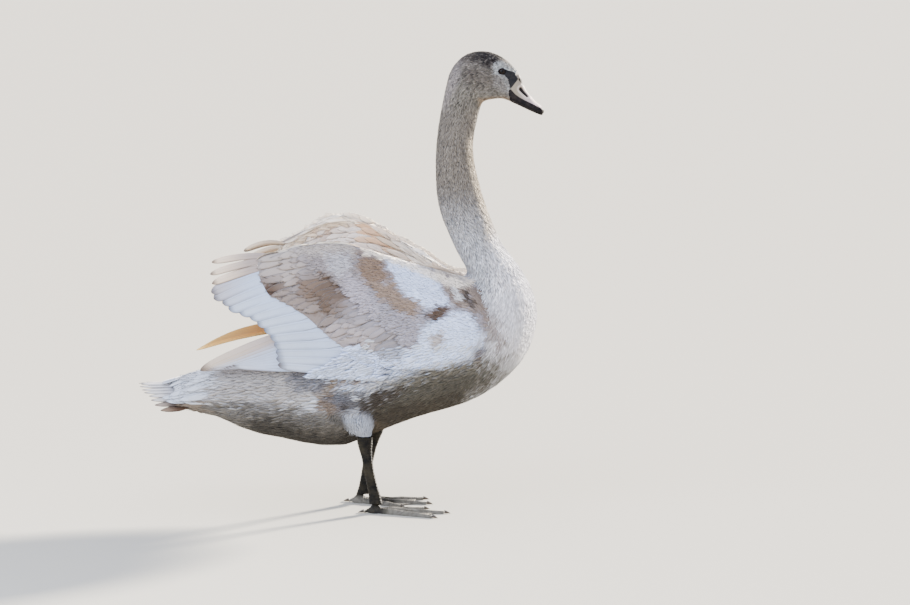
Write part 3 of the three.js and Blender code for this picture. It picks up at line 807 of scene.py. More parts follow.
class Surface:
    """A closed mesh that gives its nearest point, what a ray meets, and points spread over it."""

    def __init__(self, item: bpy.types.Object) -> None:
        """Args: item, the object whose mesh is read once, as it is now."""
        item.data.calc_loop_triangles()
        self.vertices = places_of(item)
        self.normals = normals_of(item)
        flat = np.empty(len(item.data.loop_triangles) * 3, np.int32)
        item.data.loop_triangles.foreach_get("vertices", flat)
        self.triangles = flat.reshape(-1, 3)
        self.tree = BVHTree.FromPolygons(self.vertices.tolist(), self.triangles.tolist(), all_triangles=True)
        a, b, c = (self.vertices[self.triangles[:, k]] for k in range(3))
        self.areas = np.linalg.norm(np.cross(b - a, c - a), axis=1) / 2

    def blend(self, faces: np.ndarray, points: np.ndarray) -> np.ndarray:
        """The smooth normals at points that lie on given faces.

        Args:
            faces: the number of each point's face.
            points: places on those faces.

        Returns:
            A normal for each place.
        """
        a, b, c = (self.vertices[self.triangles[faces, k]] for k in range(3))
        whole = np.maximum(np.linalg.norm(np.cross(b - a, c - a), axis=1), 1e-14)
        share_a = np.linalg.norm(np.cross(b - points, c - points), axis=1) / whole
        share_b = np.linalg.norm(np.cross(c - points, a - points), axis=1) / whole
        share_c = np.clip(1 - share_a - share_b, 0, 1)
        na, nb, nc = (self.normals[self.triangles[faces, k]] for k in range(3))
        return unit(na * share_a[:, None] + nb * share_b[:, None] + nc * share_c[:, None])

    def nearest(self, points: np.ndarray) -> tuple[np.ndarray, np.ndarray]:
        """The nearest places on the surface, and the normals there.

        Args:
            points: places near the surface.

        Returns:
            The found places and the normals there.
        """
        found = [self.tree.find_nearest(Vector(p)) for p in points]
        places = np.array([f[0] for f in found], float)
        return places, self.blend(np.array([f[2] for f in found]), places)

    def distance(self, points: np.ndarray) -> np.ndarray:
        """How far each point is from the surface."""
        return np.array([self.tree.find_nearest(Vector(p))[3] for p in points])

    def from_side(self, points: np.ndarray, side: int, reach: float) -> tuple[np.ndarray, np.ndarray]:
        """Moves points across the bird onto the face of the surface that looks out on one side.

        Args:
            points: places near the surface.
            side: RIGHT or LEFT.
            reach: how far out the search starts.

        Returns:
            The places and normals that were met, or the nearest ones where nothing was in the way.
        """
        places, faces = np.empty((len(points), 3)), np.empty(len(points), int)
        inwards = Vector((0, -side, 0))
        for i, point in enumerate(points):
            start = Vector((point[0], side * reach, point[2]))
            place, _, face, _ = self.tree.ray_cast(start, inwards, reach)
            if place is None or abs(place[1] - point[1]) > 0.03:
                place, _, face, _ = self.tree.find_nearest(Vector(point))
            places[i] = place
            faces[i] = face
        return places, self.blend(faces, places)

    def sample(self, count: int, chance: np.random.Generator) -> tuple[np.ndarray, np.ndarray]:
        """Points spread at random over the surface, and the normals there.

        Args:
            count: how many points.
            chance: the source of chance.

        Returns:
            The places and the normals there.
        """
        faces = chance.choice(len(self.triangles), count, p=self.areas / self.areas.sum())
        u, v = chance.random((2, count, 1))
        over = u + v > 1
        u, v = np.where(over, 1 - u, u), np.where(over, 1 - v, v)
        a, b, c = (self.vertices[self.triangles[faces, k]] for k in range(3))
        places = a + u * (b - a) + v * (c - a)
        return places, self.blend(faces, places)


def thinned(points: np.ndarray, spacing: np.ndarray | float) -> np.ndarray:
    """Keeps points, in their order, that are no nearer to a kept one than their own spacing.

    Args:
        points: places in random order.
        spacing: the least distance, for all or for each.

    Returns:
        The numbers of the kept points.
    """
    spacing = np.broadcast_to(spacing, len(points))
    cell = float(spacing.max())
    boxes = np.floor(points / cell).astype(int).tolist()
    least = (spacing**2).tolist()
    kept: list[int] = []
    grid: dict = {}
    steps = [(i, j, k) for i in (-1, 0, 1) for j in (-1, 0, 1) for k in (-1, 0, 1)]
    for index, (x, y, z) in enumerate(points.tolist()):
        bx, by, bz = boxes[index]
        near = (spot for i, j, k in steps for spot in grid.get((bx + i, by + j, bz + k), ()))
        if all((x - px) ** 2 + (y - py) ** 2 + (z - pz) ** 2 >= least[index] for px, py, pz in near):
            grid.setdefault((bx, by, bz), []).append((x, y, z))
            kept.append(index)
    return np.array(kept)


@dataclass(frozen=True)
class Spots:
    """Places on the outline of the bird where feathers may grow, in metres, and the way it faces there."""

    places: np.ndarray
    normals: np.ndarray

    @classmethod
    def scattered(cls, hull: Surface, count: int, chance: np.random.Generator) -> "Spots":
        """Random places all over the outline."""
        return cls(*hull.sample(count, chance))

    @property
    def mm(self) -> np.ndarray:
        """The places in the bird's own millimetres."""
        return own(self.places)

    def part(self, chosen: np.ndarray) -> "Spots":
        """Only the chosen ones."""
        return Spots(self.places[chosen], self.normals[chosen])

    def thinned(self, spacing: np.ndarray | float) -> "Spots":
        """Only those that keep their distance from each other, in metres."""
        return self.part(thinned(self.places, spacing))


# ---------------------------------------------------------------------------- vanes


@dataclass
class Feathers:
    """Feathers ready to be made: their centre lines, widths, colours and places on the unwrap of the skin."""

    path: np.ndarray  # (count, 3, 3), the root, the middle and the tip
    normal: np.ndarray  # (count, 3, 3), what way the face looks there
    width: np.ndarray
    root_colour: np.ndarray
    tip_colour: np.ndarray
    edge_colour: np.ndarray
    patch: np.ndarray  # (count, 2)

    def __len__(self) -> int:
        """How many there are."""
        return len(self.width)

    def part(self, chosen: np.ndarray) -> "Feathers":
        """Only the chosen ones."""
        return Feathers(*(getattr(self, name)[chosen] for name in self.__dataclass_fields__))

    def sound(self, length_mm: np.ndarray, least: float, most: float, turned: float) -> "Feathers":
        """Only those that the surface under them neither stretches nor folds.

        Args:
            length_mm: how long each was meant to be.
            least: the least share of half its length that either half may have.
            most: the largest share.
            turned: the least cosine of the turn from its root to its tip.

        Returns:
            The good ones.
        """
        steps = np.linalg.norm(np.diff(self.path, axis=1), axis=2) / (length_mm[:, None] * MM / 2)
        flat = (self.normal[:, 0] * self.normal[:, 2]).sum(1) > turned
        return self.part((steps.max(1) < most) & (steps.min(1) > least) & flat)

    @staticmethod
    def joined(groups: list) -> "Feathers":
        """Several lots as one."""
        names = Feathers.__dataclass_fields__
        return Feathers(*(np.concatenate([getattr(g, name) for g in groups]) for name in names))


def in_a_row(share: np.ndarray) -> np.ndarray:
    """Where feathers of a single row lie on the unwrap."""
    return np.stack([share, np.full_like(share, 0.5)], 1)


@dataclass(frozen=True)
class VaneShape:
    """The one small closed form that every feather of a coat is a copy of, bent along its own centre line."""

    along: tuple  # where the rows are, from the root at 0 to the tip at 1
    half: tuple  # the share of the half width that each row has
    across: tuple  # where the columns are, from -1 on one side to 1 on the other
    camber: float = 0.25  # how far the sides drop, as a share of the half width
    thick: float = 0.06  # the middle's thickness, as a share of the width
    fray: float = 0.12  # how far the tip's notches go back, as a share of the length
    ragged: float = 0.1  # how unevenly the edge runs, as a share of the half width
    edging: float = 0.0  # how far the edge takes the edge's colour
    edge_at: float = 0.5  # where across the vane that begins
    edge_side: int = 0  # the one side that has an edge of its own colour, 0 for both
    turn: tuple = (0.15, 0.95)  # between which shares of the length the root's colour gives way to the tip's
    shaft: float = 0.0  # how far the shaft stands up, as a share of the width

    def triangles(self) -> np.ndarray:
        """The faces of one vane, with the underside drawn to one line down its middle.

        Returns:
            Three numbers of vertices for each face.
        """
        rows, columns = len(self.along), len(self.across)
        top = np.arange(rows * columns).reshape(rows, columns)
        low = rows * columns + np.arange(rows)
        faces = []
        for r in range(rows - 1):
            for c in range(columns - 1):
                faces.append((top[r, c], top[r, c + 1], top[r + 1, c + 1]))
                faces.append((top[r, c], top[r + 1, c + 1], top[r + 1, c]))
            faces += [(top[r, 0], top[r + 1, 0], low[r + 1]), (top[r, 0], low[r + 1], low[r])]
            faces += [(low[r], low[r + 1], top[r + 1, -1]), (low[r], top[r + 1, -1], top[r, -1])]
        for c in range(columns - 1):
            faces.append((top[0, c + 1], top[0, c], low[0]))
            faces.append((top[-1, c], top[-1, c + 1], low[-1]))
        return np.array(faces)

    def stations(self, count: int, chance: np.random.Generator) -> tuple[np.ndarray, np.ndarray, np.ndarray]:
        """Where the vertices of each vane's upper side are, before it is bent.

        Args:
            count: how many vanes there are.
            chance: the source of their small differences.

        Returns:
            The share along, the share across and the share of the half width, for each row and column.
        """
        rows, columns = len(self.along), len(self.across)
        t = np.array(self.along)[None, :, None] * np.ones((count, 1, columns))
        s = np.array(self.across)[None, None, :] * np.ones((count, rows, 1))
        notched = (np.arange(columns) + columns // 2) % 2
        notch = notched * self.fray * chance.uniform(0.6, 1.4, (count, columns))
        t[:, -1, :] -= notch + 0.5 * self.fray * np.abs(s[:, -1, :]) ** 2
        t[:, -2, :] -= 0.35 * notch
        uneven = self.ragged * chance.uniform(-1, 1, (count, rows, columns)) * (np.abs(s) > 0.9)
        return t, s, np.array(self.half)[None, :, None] * (1 + uneven)

    def build(
        self, name: str, feathers: Feathers, chance: np.random.Generator, patch_size: tuple = (0.003, 0.003)
    ) -> bpy.types.Object:
        """Makes one object of many feathers.

        Args:
            name: the object's name.
            feathers: what to make.
            chance: the source of their small differences.
            patch_size: how wide and how long the patch of one feather is on the map for baking.

        Returns:
            The object, with the attributes tint and vane and the map OFBake.
        """
        count, middle = len(feathers), len(self.across) // 2
        t, s, reach = self.stations(count, chance)
        weights = np.stack([2 * t * t - 3 * t + 1, 4 * t - 4 * t * t, 2 * t * t - t], -1)
        slopes = np.stack([4 * t - 3, 4 - 8 * t, 4 * t - 1], -1)
        centre = np.einsum("nrck,nkd->nrcd", weights, feathers.path)
        ahead = unit(np.einsum("nrck,nkd->nrcd", slopes, feathers.path))
        up = unit(np.einsum("nrck,nkd->nrcd", weights, feathers.normal))
        side = unit(np.cross(ahead, up))
        up = np.cross(side, ahead)
        half = feathers.width[:, None, None] / 2
        drop = self.camber * half * reach * s * s
        drop = drop - self.shaft * feathers.width[:, None, None] * (np.abs(s) < 0.01)
        top = centre + side * (half * reach * s)[..., None] - up * drop[..., None]
        thick = self.thick * feathers.width[:, None] * np.clip(self.half, 0.25, 1)
        low = centre[:, :, middle] - up[:, :, middle] * (thick + 0.3 * drop[:, :, 0])[..., None]
        vertices = np.concatenate([top.reshape(count, -1, 3), low], axis=1)
        first = (np.arange(count) * vertices.shape[1])[:, None, None]
        triangles = (self.triangles()[None] + first).reshape(-1, 3)
        item = mesh_object(name, vertices.reshape(-1, 3), triangles)
        s = np.concatenate([s.reshape(count, -1), np.zeros(low.shape[:2])], 1)
        t = np.concatenate([t.reshape(count, -1), t[:, :, middle]], 1)
        write_colours(item, self.tint(feathers, s, t).reshape(-1, 3))
        lane = chance.random((count, 1)) * np.ones_like(s)
        vane = item.data.attributes.new("vane", "FLOAT_VECTOR", "POINT")
        vane.data.foreach_set("vector", np.stack([s, t, lane], -1).astype(np.float32).ravel())
        spot = feathers.patch[:, None, :] + np.stack([s * 0.47, t - 0.5], -1) * np.array(patch_size)
        layer = item.data.uv_layers.new(name="OFBake")
        layer.data.foreach_set("uv", spot.reshape(-1, 2)[triangles.ravel()].astype(np.float32).ravel())
        return item

    def tint(self, feathers: Feathers, s: np.ndarray, t: np.ndarray) -> np.ndarray:
        """The colour of each vertex.

        Args:
            feathers: the feathers that the vanes stand for.
            s: where across the vane the vertices are.
            t: where along it they are.

        Returns:
            The colours, from the root's to the tip's, with the edge's on the rim.
        """
        root, tip = feathers.root_colour[:, None], feathers.tip_colour[:, None]
        tint = mixed(root, tip, smooth(*self.turn, t)[..., None])
        outward = s * self.edge_side if self.edge_side else np.abs(s)
        rim = np.maximum(smooth(self.edge_at, 1.0, outward) * smooth(0.2, 0.6, t), smooth(0.88, 1.0, t))
        return tint + self.edging * rim[..., None] * (feathers.edge_colour[:, None] - tint)


TUFT = VaneShape(
    (0, 0.5, 1),
    (0.55, 1, 0.34),
    (-1, 0, 1),
    camber=0.16,
    thick=0.04,
    fray=0.14,
    turn=(0.35, 0.95),
)
LOCK = VaneShape(
    (0, 0.4, 0.75, 1),
    (0.5, 1, 0.8, 0.16),
    (-1, 0, 1),
    camber=0.12,
    thick=0.03,
    fray=0.1,
    ragged=0.2,
    turn=(0.3, 1.0),
)
COVERT = VaneShape(
    (0, 0.3, 0.55, 0.74, 0.88, 1),
    (0.5, 0.85, 1, 0.9, 0.62, 0.14),
    (-1, -0.55, 0, 0.55, 1),
    camber=0.02,
    thick=0.01,
    fray=0.07,
    ragged=0.12,
    edging=0.55,
    edge_at=0.3,
    turn=(0.5, 0.92),
)
QUILL = VaneShape(
    (0, 0.12, 0.26, 0.4, 0.54, 0.66, 0.76, 0.84, 0.9, 0.95, 0.98, 1),
    (0.35, 0.6, 0.82, 0.94, 1, 1, 0.97, 0.9, 0.78, 0.6, 0.38, 0.12),
    (-1, -0.88, -0.5, -0.12, 0, 0.12, 0.5, 0.88, 1),
    camber=0.16,
    thick=0.03,
    fray=0.006,
    ragged=0.03,
    edging=0.9,
    edge_at=0.74,
    shaft=0.025,
    turn=(0.3, 0.95),
)
BLADE = replace(QUILL, half=(0.4, 0.7, 0.9, 1, 0.98, 0.9, 0.78, 0.62, 0.46, 0.32, 0.18, 0.04), edge_at=0.62)


# ---------------------------------------------------------------------------- the lie of the coat

SPINE = Line(
    [(-300, 222), (-150, 235), (0, 250), (110, 275), (200, 312), (262, 370), (290, 440), (278, 510)]
    + [(240, 580), (222, 640), (217, 700), (222, 750), (236, 795), (262, 826), (300, 828), (335, 815)]
)


def thighness(points: np.ndarray) -> np.ndarray:
    """How far each place, in the bird's own millimetres, is on a thigh.

    Args:
        points: places in the bird's own millimetres.

    Returns:
        A share for each place.
    """
    z = points[:, 2]
    middle = np.interp(z, [147, 178, 222], [53, 34, 6]) + np.where(points[:, 1] > 0, 6, 0)
    out = np.interp(z, [147, 178, 222], [62, 80, 84])
    half = np.interp(z, [147, 160, 178, 222], [18, 25, 36, 54])
    gap = np.hypot(points[:, 0] - middle, np.abs(points[:, 1]) - out) / half
    return (1 - smooth(0.9, 1.25, gap)) * (1 - smooth(180, 206, z))


@dataclass(frozen=True)
class Lie:
    """Which way the plumage lies and how large its feathers are, in the bird's own millimetres."""

    # Places on the body, seen from the side, each with the length of a feather there.
    body_lengths: tuple = (
        (330, 805, 4.8), (318, 835, 4.4), (300, 850, 5), (262, 850, 6.6), (262, 810, 6.8), (228, 780, 8.4),
        (217, 650, 9.6), (240, 540, 11), (290, 470, 12.5), (340, 380, 15), (330, 300, 17), (230, 250, 19),
        (100, 180, 20), (-60, 160, 24), (-160, 190, 34), (-240, 220, 42), (-305, 235, 44), (180, 420, 24),
        (60, 380, 30), (-100, 320, 40), (-60, 240, 36), (30, 225, 22), (48, 165, 13), (55, 145, 9),
        (110, 270, 26), (200, 290, 24),
    )
    # Places on the wing, each with how many degrees below level its feathers point as they run back.
    wing_slopes: tuple = (
        (252, 440, -24), (200, 458, -20), (150, 474, -14), (86, 498, -8), (15, 515, 0), (-60, 508, 8),
        (-150, 480, 13), (-130, 440, 17), (-60, 460, 13), (0, 470, 8), (100, 440, 3), (200, 410, -5),
        (-80, 400, 25), (0, 410, 25), (60, 400, 18), (140, 390, 10), (235, 380, 2), (-20, 350, 33),
        (60, 340, 29), (140, 330, 15), (250, 330, 6), (60, 300, 22), (140, 290, 8), (250, 300, 2),
    )
    # Places on the outside of the wing, each with the width of a feather there.
    wing_widths: tuple = (
        (-60, 420, 16), (-18, 418, 13), (20, 380, 12), (47, 430, 17), (0, 500, 20), (100, 480, 20),
        (160, 450, 18), (128, 400, 13), (128, 360, 8.5), (235, 348, 8.5), (250, 425, 9), (200, 395, 10),
        (150, 300, 12), (60, 320, 13),
    )

    def along_body(self, places: np.ndarray) -> np.ndarray:
        """The way the plumage runs on the trunk, neck and head, before it is laid on the skin.

        Args:
            places: places in the bird's own millimetres.

        Returns:
            A direction for each place.
        """
        flow = np.zeros((len(places), 3))
        flow[:, [0, 2]] = -SPINE.direction(SPINE.nearest(side_view(places)))
        flow = mixed(flow, np.array([0.1, 0, -1]), thighness(places)[:, None])
        flow[:, 2] += 0.12 * smooth(100, 300, places[:, 0]) * (1 - smooth(300, 420, places[:, 2])) * -1
        return unit(flow)

    def on_wing(self, points: np.ndarray, stray: np.ndarray) -> np.ndarray:
        """The way a wing's feathers run at places, seen from the side, each turned by its own few degrees."""
        slope = np.radians(spread(self.wing_slopes, side_view(points), 3.0) + stray)
        return np.stack([-np.cos(slope), -np.sin(slope)], 1)

    def body_length(self, points: np.ndarray) -> np.ndarray:
        """The length of the body's feathers at places."""
        return spread(self.body_lengths, side_view(points), 4.0)


LIE = Lie()
MARKINGS = Markings()


# ---------------------------------------------------------------------------- wings


@dataclass(frozen=True)
class Wing:
    """One folded wing, held arched over the back, as x, out from the middle and z of the right wing."""

    side: int
    ridge: tuple = (
        (-156, 70, 487), (-60, 80, 513), (15, 86, 518), (86, 84, 501), (158, 78, 478), (215, 70, 459),
        (252, 60, 446),
    )
    front: tuple = ((252, 60, 446), (272, 88, 420), (284, 112, 382), (281, 121, 345), (258, 116, 310))
    hem: tuple = ((60, 128, 291), (130, 128, 284), (200, 122, 286), (258, 116, 310))
    rear: tuple = (
        (-156, 70, 487), (-155, 75, 476), (-153, 80, 460), (-149, 86, 444), (-131, 96, 417),
        (-92, 106, 401), (-52, 114, 378), (-14, 121, 346), (22, 125, 315), (60, 128, 291),
    )
    tips: tuple = (
        (-242, 60, 475), (-243, 68, 452), (-240, 76, 430), (-227, 83, 411), (-200, 91, 394),
        (-166, 97, 381), (-140, 103, 360), (-120, 109, 337), (-106, 113, 312), (-101, 116, 291),
    )
    raise_line: tuple = (
        (-300, 0), (-200, 12), (-122, 3), (-75, 16), (-42, 30), (13, 28), (84, 11), (145, 2), (194, -14),
        (260, 0),
    )
    # The tips of the raised wing's crest, x and z, each with how many degrees below level the feather points.
    crest_tips: tuple = (
        (-132, 503, 4), (-110, 515, 0), (-86, 529, -2), (-70, 538, -4), (-46, 554, -26), (-28, 549, -8),
        (-12, 553, -10), (4, 555, -12), (18, 551, -20),
    )
    # Each row of coverts: how far its tips lie from the rear edge, its feathers' length and width, or 0 where
    # those follow the place.
    covert_rows: tuple = ((0.0, 104.0, 19.0), (46.0, 72.0, 15.5), (66.0, 56.0, 13.5), (76.53, 0, 0))
    primary_count: int = 10
    fringe_count: int = 46
    lining_apart: float = 0.0088  # in metres
    lining_length: float = 56
    lining_width: float = 15

    @property
    def word(self) -> str:
        """The side's name."""
        return side_word(self.side)

    def share_raised(self, z: np.ndarray) -> np.ndarray:
        """How far a height belongs to the raised top of the left wing."""
        return smooth(370, 470, z) if self.side == LEFT else np.zeros_like(z)

    def posed(self, points: np.ndarray) -> np.ndarray:
        """Points of the right wing's list, put where this wing has them.

        Args:
            points: places in the right wing's list.

        Returns:
            Places in the bird's own millimetres.
        """
        x, out, z = (points[..., k] for k in range(3))
        share = self.share_raised(z)
        drawn = np.maximum(-100 - x, 0) * 0.32
        lift = np.interp(x, *zip(*self.raise_line))
        return np.stack([x + share * drawn, self.side * out, z + share * lift], -1)

    def unposed(self, points: np.ndarray) -> np.ndarray:
        """The other way: where points on this wing would be in the right wing's list.

        Args:
            points: places in the bird's own millimetres.

        Returns:
            Places in the right wing's list.
        """
        goal = np.array(points, float)
        goal[..., 1] *= self.side
        guess = goal.copy()
        for _ in range(12):
            moved = self.posed(guess)
            moved[..., 1] *= self.side
            guess += goal - moved
        return guess

    def patch_point(self, u: np.ndarray, v: np.ndarray) -> np.ndarray:
        """Points of the outer face by their shares across it.

        Args:
            u: the shares from the coverts' tips to the front.
            v: the shares from the ridge down to the hem.

        Returns:
            Places in the right wing's list.
        """
        ridge, hem, rear, front = (Line(points) for points in (self.ridge, self.hem, self.rear, self.front))
        u3, v3 = np.asarray(u, float)[..., None], np.asarray(v, float)[..., None]
        along = mixed(ridge.at(u), hem.at(u), v3)
        down = mixed(rear.at(v), front.at(v), u3)
        rear_end = mixed(np.array(self.ridge[0]), np.array(self.hem[0]), v3)
        front_end = mixed(np.array(self.ridge[-1]), np.array(self.hem[-1]), v3)
        return along + down - mixed(rear_end, front_end, u3)

    def covert_places(self) -> np.ndarray:
        """Lays out the rows of coverts, from the greater ones at the rear to the smallest at the front.

        Returns:
            For each covert its tip's x, out and z, its length, its width, how far its row runs from the rear
            edge and its share of the way down the wing.
        """
        down = np.linspace(0.0, 1.0, 81)
        along = np.linspace(0, 1, 60)
        grid = self.patch_point(np.tile(along, (len(down), 1)), np.tile(down[:, None], (1, len(along))))
        runs = np.stack([run_along(line) for line in grid])
        lots = []
        for row, (start, length, width) in enumerate(self.covert_rows):
            line = np.stack([read(cells, run, start) for run, cells in zip(runs, grid)])
            wide = np.full(len(down), width) if width else spread(LIE.wing_widths, side_view(line), 3.0)
            long = np.full(len(down), length) if length else wide * 3.6
            steps = np.diff(run_along(line)) / (0.5 * (wide[1:] + wide[:-1]) * 0.8)
            counts = np.concatenate([[0], np.cumsum(steps)])
            marks = np.arange(0.25 + 0.5 * (row % 2), counts[-1], 1.0)
            inside = np.interp(marks, counts, start < runs[:, -1] - 2) > 0.5
            table = np.column_stack([line, long, wide, np.full(len(down), start), down])
            lots.append(read(table, counts, marks)[inside])
        return np.concatenate(lots)

    def coverts(self, hull: Surface, chance: np.random.Generator) -> Feathers:
        """Lays the coverts of the outer face on the outline of the bird.

        Args:
            hull: the outline of the plumage.
            chance: the source of their small differences.

        Returns:
            The coverts.
        """
        rows = self.covert_places()
        count = len(rows)
        length, width, inset, down = rows[:, 3:].T
        width = width * chance.uniform(0.9, 1.12, count)
        tip = rows[:, :3] + chance.normal(0, 1, (count, 3)) * width[:, None] * np.array([0.22, 0, 0.09])
        run = LIE.on_wing(tip, chance.normal(0, 4.5, count))
        stray = chance.normal(0, 0.12, count)
        path, normal, shades = [], [], []
        for back, at_rear, inland in ((1.0, -2.0, -1.5), (0.5, -0.9, -0.6), (0.0, 0.1, 0.4)):
            seen = slid(tip, run, -length * (0.16 + 0.5 * back))
            shades.append(MARKINGS.colours(seen, Zone.WING_OUTER, chance))
            station = placed(self.posed(slid(tip, run, -length * back)))
            places, facing = hull.from_side(station, self.side, 0.3)
            height = (mixed(at_rear, inland, smooth(0, 60, inset)) + stray * (1 - back)) * MM
            path.append(places + facing * height[:, None])
            normal.append(facing)
        root = mixed(shades[2], shades[1], 0.6) * chance.uniform(0.85, 1.06, (count, 1))
        patch = np.stack([inset / 420, down], 1)
        # a darker, browner edge on one side of each covert: partly brown edging, partly painted shadow in the
        # gap under the next covert
        edge = shades[2] * [0.72, 0.67, 0.64]
        lot = Feathers(np.stack(path, 1), np.stack(normal, 1), width * MM, root, shades[2], edge, patch)
        return lot.sound(length, 0.6, 1.5, 0.3)

    def lining(self, hull: Surface, places: np.ndarray, chance: np.random.Generator) -> Feathers:
        """Lays the larger, smoother feathers of the inner face and of its ridge.

        Args:
            hull: the outline of the plumage.
            places: points of the inner face of this wing, in metres.
            chance: the source of their small differences.

        Returns:
            The feathers.
        """
        mm = self.unposed(own(places[thinned(places, self.lining_apart)]))
        count = len(mm)
        run = LIE.on_wing(mm, chance.normal(0, 5, count))
        length = self.lining_length * chance.uniform(0.85, 1.15, count)
        width = self.lining_width * chance.uniform(0.85, 1.15, count)
        stray = chance.normal(0, 0.3, count)
        path, normal = [], []
        for step, height in ((-0.5, -1.6), (0.0, -0.5), (0.5, 0.6)):
            found, facing = hull.nearest(placed(self.posed(slid(mm, run, length * step))))
            path.append(found + facing * ((height + stray) * MM)[:, None])
            normal.append(facing)
        colour = MARKINGS.colours(mm, Zone.WING_INNER, chance)
        patch = np.stack([(mm[:, 0] + 200) / 500, (mm[:, 2] - 250) / 320], 1)
        path, normal, edge = np.stack(path, 1), np.stack(normal, 1), mixed(CREAM, colour, 0.4)
        # the roots at nine tenths of the colour: painted shade where the feathers overlap
        lot = Feathers(path, normal, width * MM, colour * 0.9, colour, edge, patch)
        return lot.sound(length, 0.55, 1.6, 0.2)

    def fringe(self, chance: np.random.Generator) -> Feathers:
        """The ragged row of long feathers that stands past the ridge at the rear of a raised wing.

        Args:
            chance: the source of small differences.

        Returns:
            The feathers.
        """
        count = self.fringe_count
        share = np.linspace(0.0, 0.97, count)
        ridge = Line(self.ridge).at(share)
        slope = np.interp(share, [0, 0.3, 0.45, 0.7, 1], [6, 0, -14, -22, -24]) + chance.normal(0, 6, count)
        slope = np.radians(slope)
        run = np.stack([-np.cos(slope), np.zeros(count), -np.sin(slope)], 1)
        reach = (np.interp(share, [0, 0.3, 0.5, 1], [8, 9, 7, 4]) * chance.uniform(0.6, 1.4, count))[:, None]
        tip = ridge + run * reach + [0, 2, 2]
        root = ridge - run * 42 + [0, 1, -7]
        path = np.stack([placed(self.posed(p)) for p in (root, (tip + root) / 2 + [0, 1, 2], tip)], 1)
        normal = np.tile(unit(np.array([-0.1, -self.side * 0.8, 0.55])), (count, 3, 1))
        # pale cream, painted brighter as the sun falls on the raised wing's top; the roots at three quarters
        # of it are painted shade
        colour = tone(234, 222, 212) * (1 + chance.normal(0, 0.06, (count, 1)))
        width = chance.uniform(10, 15, count) * MM
        edge = np.tile(SUNLIT_RIM_WHITE, (count, 1))
        return Feathers(path, normal, width, colour * 0.75, colour, edge, in_a_row(share))

    def crest(self, chance: np.random.Generator) -> Feathers:
        """The few long feathers whose tips step out, one after another, over the top of the raised wing.

        Args:
            chance: the source of small differences.

        Returns:
            The feathers.
        """
        x, z, slope = np.array(self.crest_tips, float).T
        count = len(x)
        slope = np.radians(slope)
        ridge = self.posed(Line(self.ridge).points)
        out = np.interp(x, ridge[:, 0], np.abs(ridge[:, 1])) * self.side
        # a painted highlight: a pale rim round each nostril
        stations = []
        for back, sunk, proud in ((50, 3, -9), (22, 0, 0), (0, 0, 99)):
            ahead = x + np.cos(slope) * back
            most = np.interp(ahead, ridge[:, 0], ridge[:, 2]) + proud
            high = np.minimum(z + np.sin(slope) * back - sunk, most)
            stations.append(placed(np.stack([ahead, out, high], 1)))
        normal = np.tile(unit(np.array([-0.1, -self.side * 0.9, 0.3])), (count, 3, 1))
        # pale cream, painted brighter as the sun falls on the crest; the roots at about three quarters of it
        # are painted shade
        colour = tone(238, 228, 218) * (1 + chance.normal(0, 0.05, (count, 1)))
        width = chance.uniform(10, 13, count) * MM
        edge = np.tile(SUNLIT_RIM_WHITE, (count, 1))
        share = (x - x.min()) / np.ptp(x)
        return Feathers(np.stack(stations, 1), normal, width, colour * 0.76, colour, edge, in_a_row(share))

    def fan(self, roots: np.ndarray, tips: np.ndarray, bow: np.ndarray, tilt: float) -> tuple:
        """Turns the two ends of long feathers into centre lines and normals that overlap like tiles.

        Args:
            roots: where they grow from, in the right wing's list, the top one first.
            tips: where they end.
            bow: how far the middle of each is lifted.
            tilt: how many degrees the lower edge of each is turned out over the next.

        Returns:
            The paths and the normals, in metres in the frame.
        """
        middle = (roots + tips) / 2 + bow[:, None] * np.array([0, 0, 1])
        path = np.stack([placed(self.posed(p)) for p in (roots, middle, tips)], 1)
        ahead = unit(path[:, 2] - path[:, 0])
        across = unit(np.gradient((path[:, 2] + path[:, 1]), axis=0))
        facing = unit(np.cross(ahead, across))
        facing *= np.sign(facing[:, 1:2] * self.side)
        down = unit(np.cross(ahead, facing))
        down *= -np.sign(down[:, 2:3])
        turn = math.radians(tilt)
        facing = unit(facing * math.cos(turn) - down * math.sin(turn))
        return path, np.repeat(facing[:, None], 3, axis=1)

    def secondaries(self, chance: np.random.Generator) -> Feathers:
        """The secondaries, with three narrow tertials above them.

        Args:
            chance: the source of small differences.

        Returns:
            The feathers.
        """
        number = np.concatenate([[0, 0.95, 1.75], np.linspace(2.35, 9, 13)])
        count, share = len(number), number / 9
        rear, ends = (read(line, np.arange(10), number) for line in (self.rear, self.tips))
        ahead = unit(ends - rear)
        ends = ends + ahead * chance.normal(3, 3, (count, 1)) - [0, 0, 2] * (number > 2)[:, None]
        low = smooth(8.2, 9, number)[:, None]
        roots = rear - ahead * 34 - [0, 7, 0] - low * [0, 0, 11]
        widths = np.interp(number, [0, 1.75, 2.35, 4, 8, 9], [14, 16, 28, 34, 32, 26]) * MM
        path, normal = self.fan(roots, ends, np.interp(number, [0, 9], [4, 1.5]), 5.5)
        tertial = (number < 2)[:, None]
        shade = 1 + chance.normal(0, 0.035, (count, 1))
        tip = np.where(tertial, tone(228, 214, 202), tone(194, 203, 222)) * shade
        # the tertials' roots are painted darker than their tips: painted shade under the feathers above them
        root = np.where(tertial, tone(176, 166, 166), tone(190, 201, 225)) * shade
        warm = smooth(4.4, 2.3, number)[:, None] * (1 - tertial)
        tip = mixed(tip, tone(178, 160, 150), 0.5 * warm)
        soft = smooth(3.0, 4.6, number)[:, None] * (1 - low)
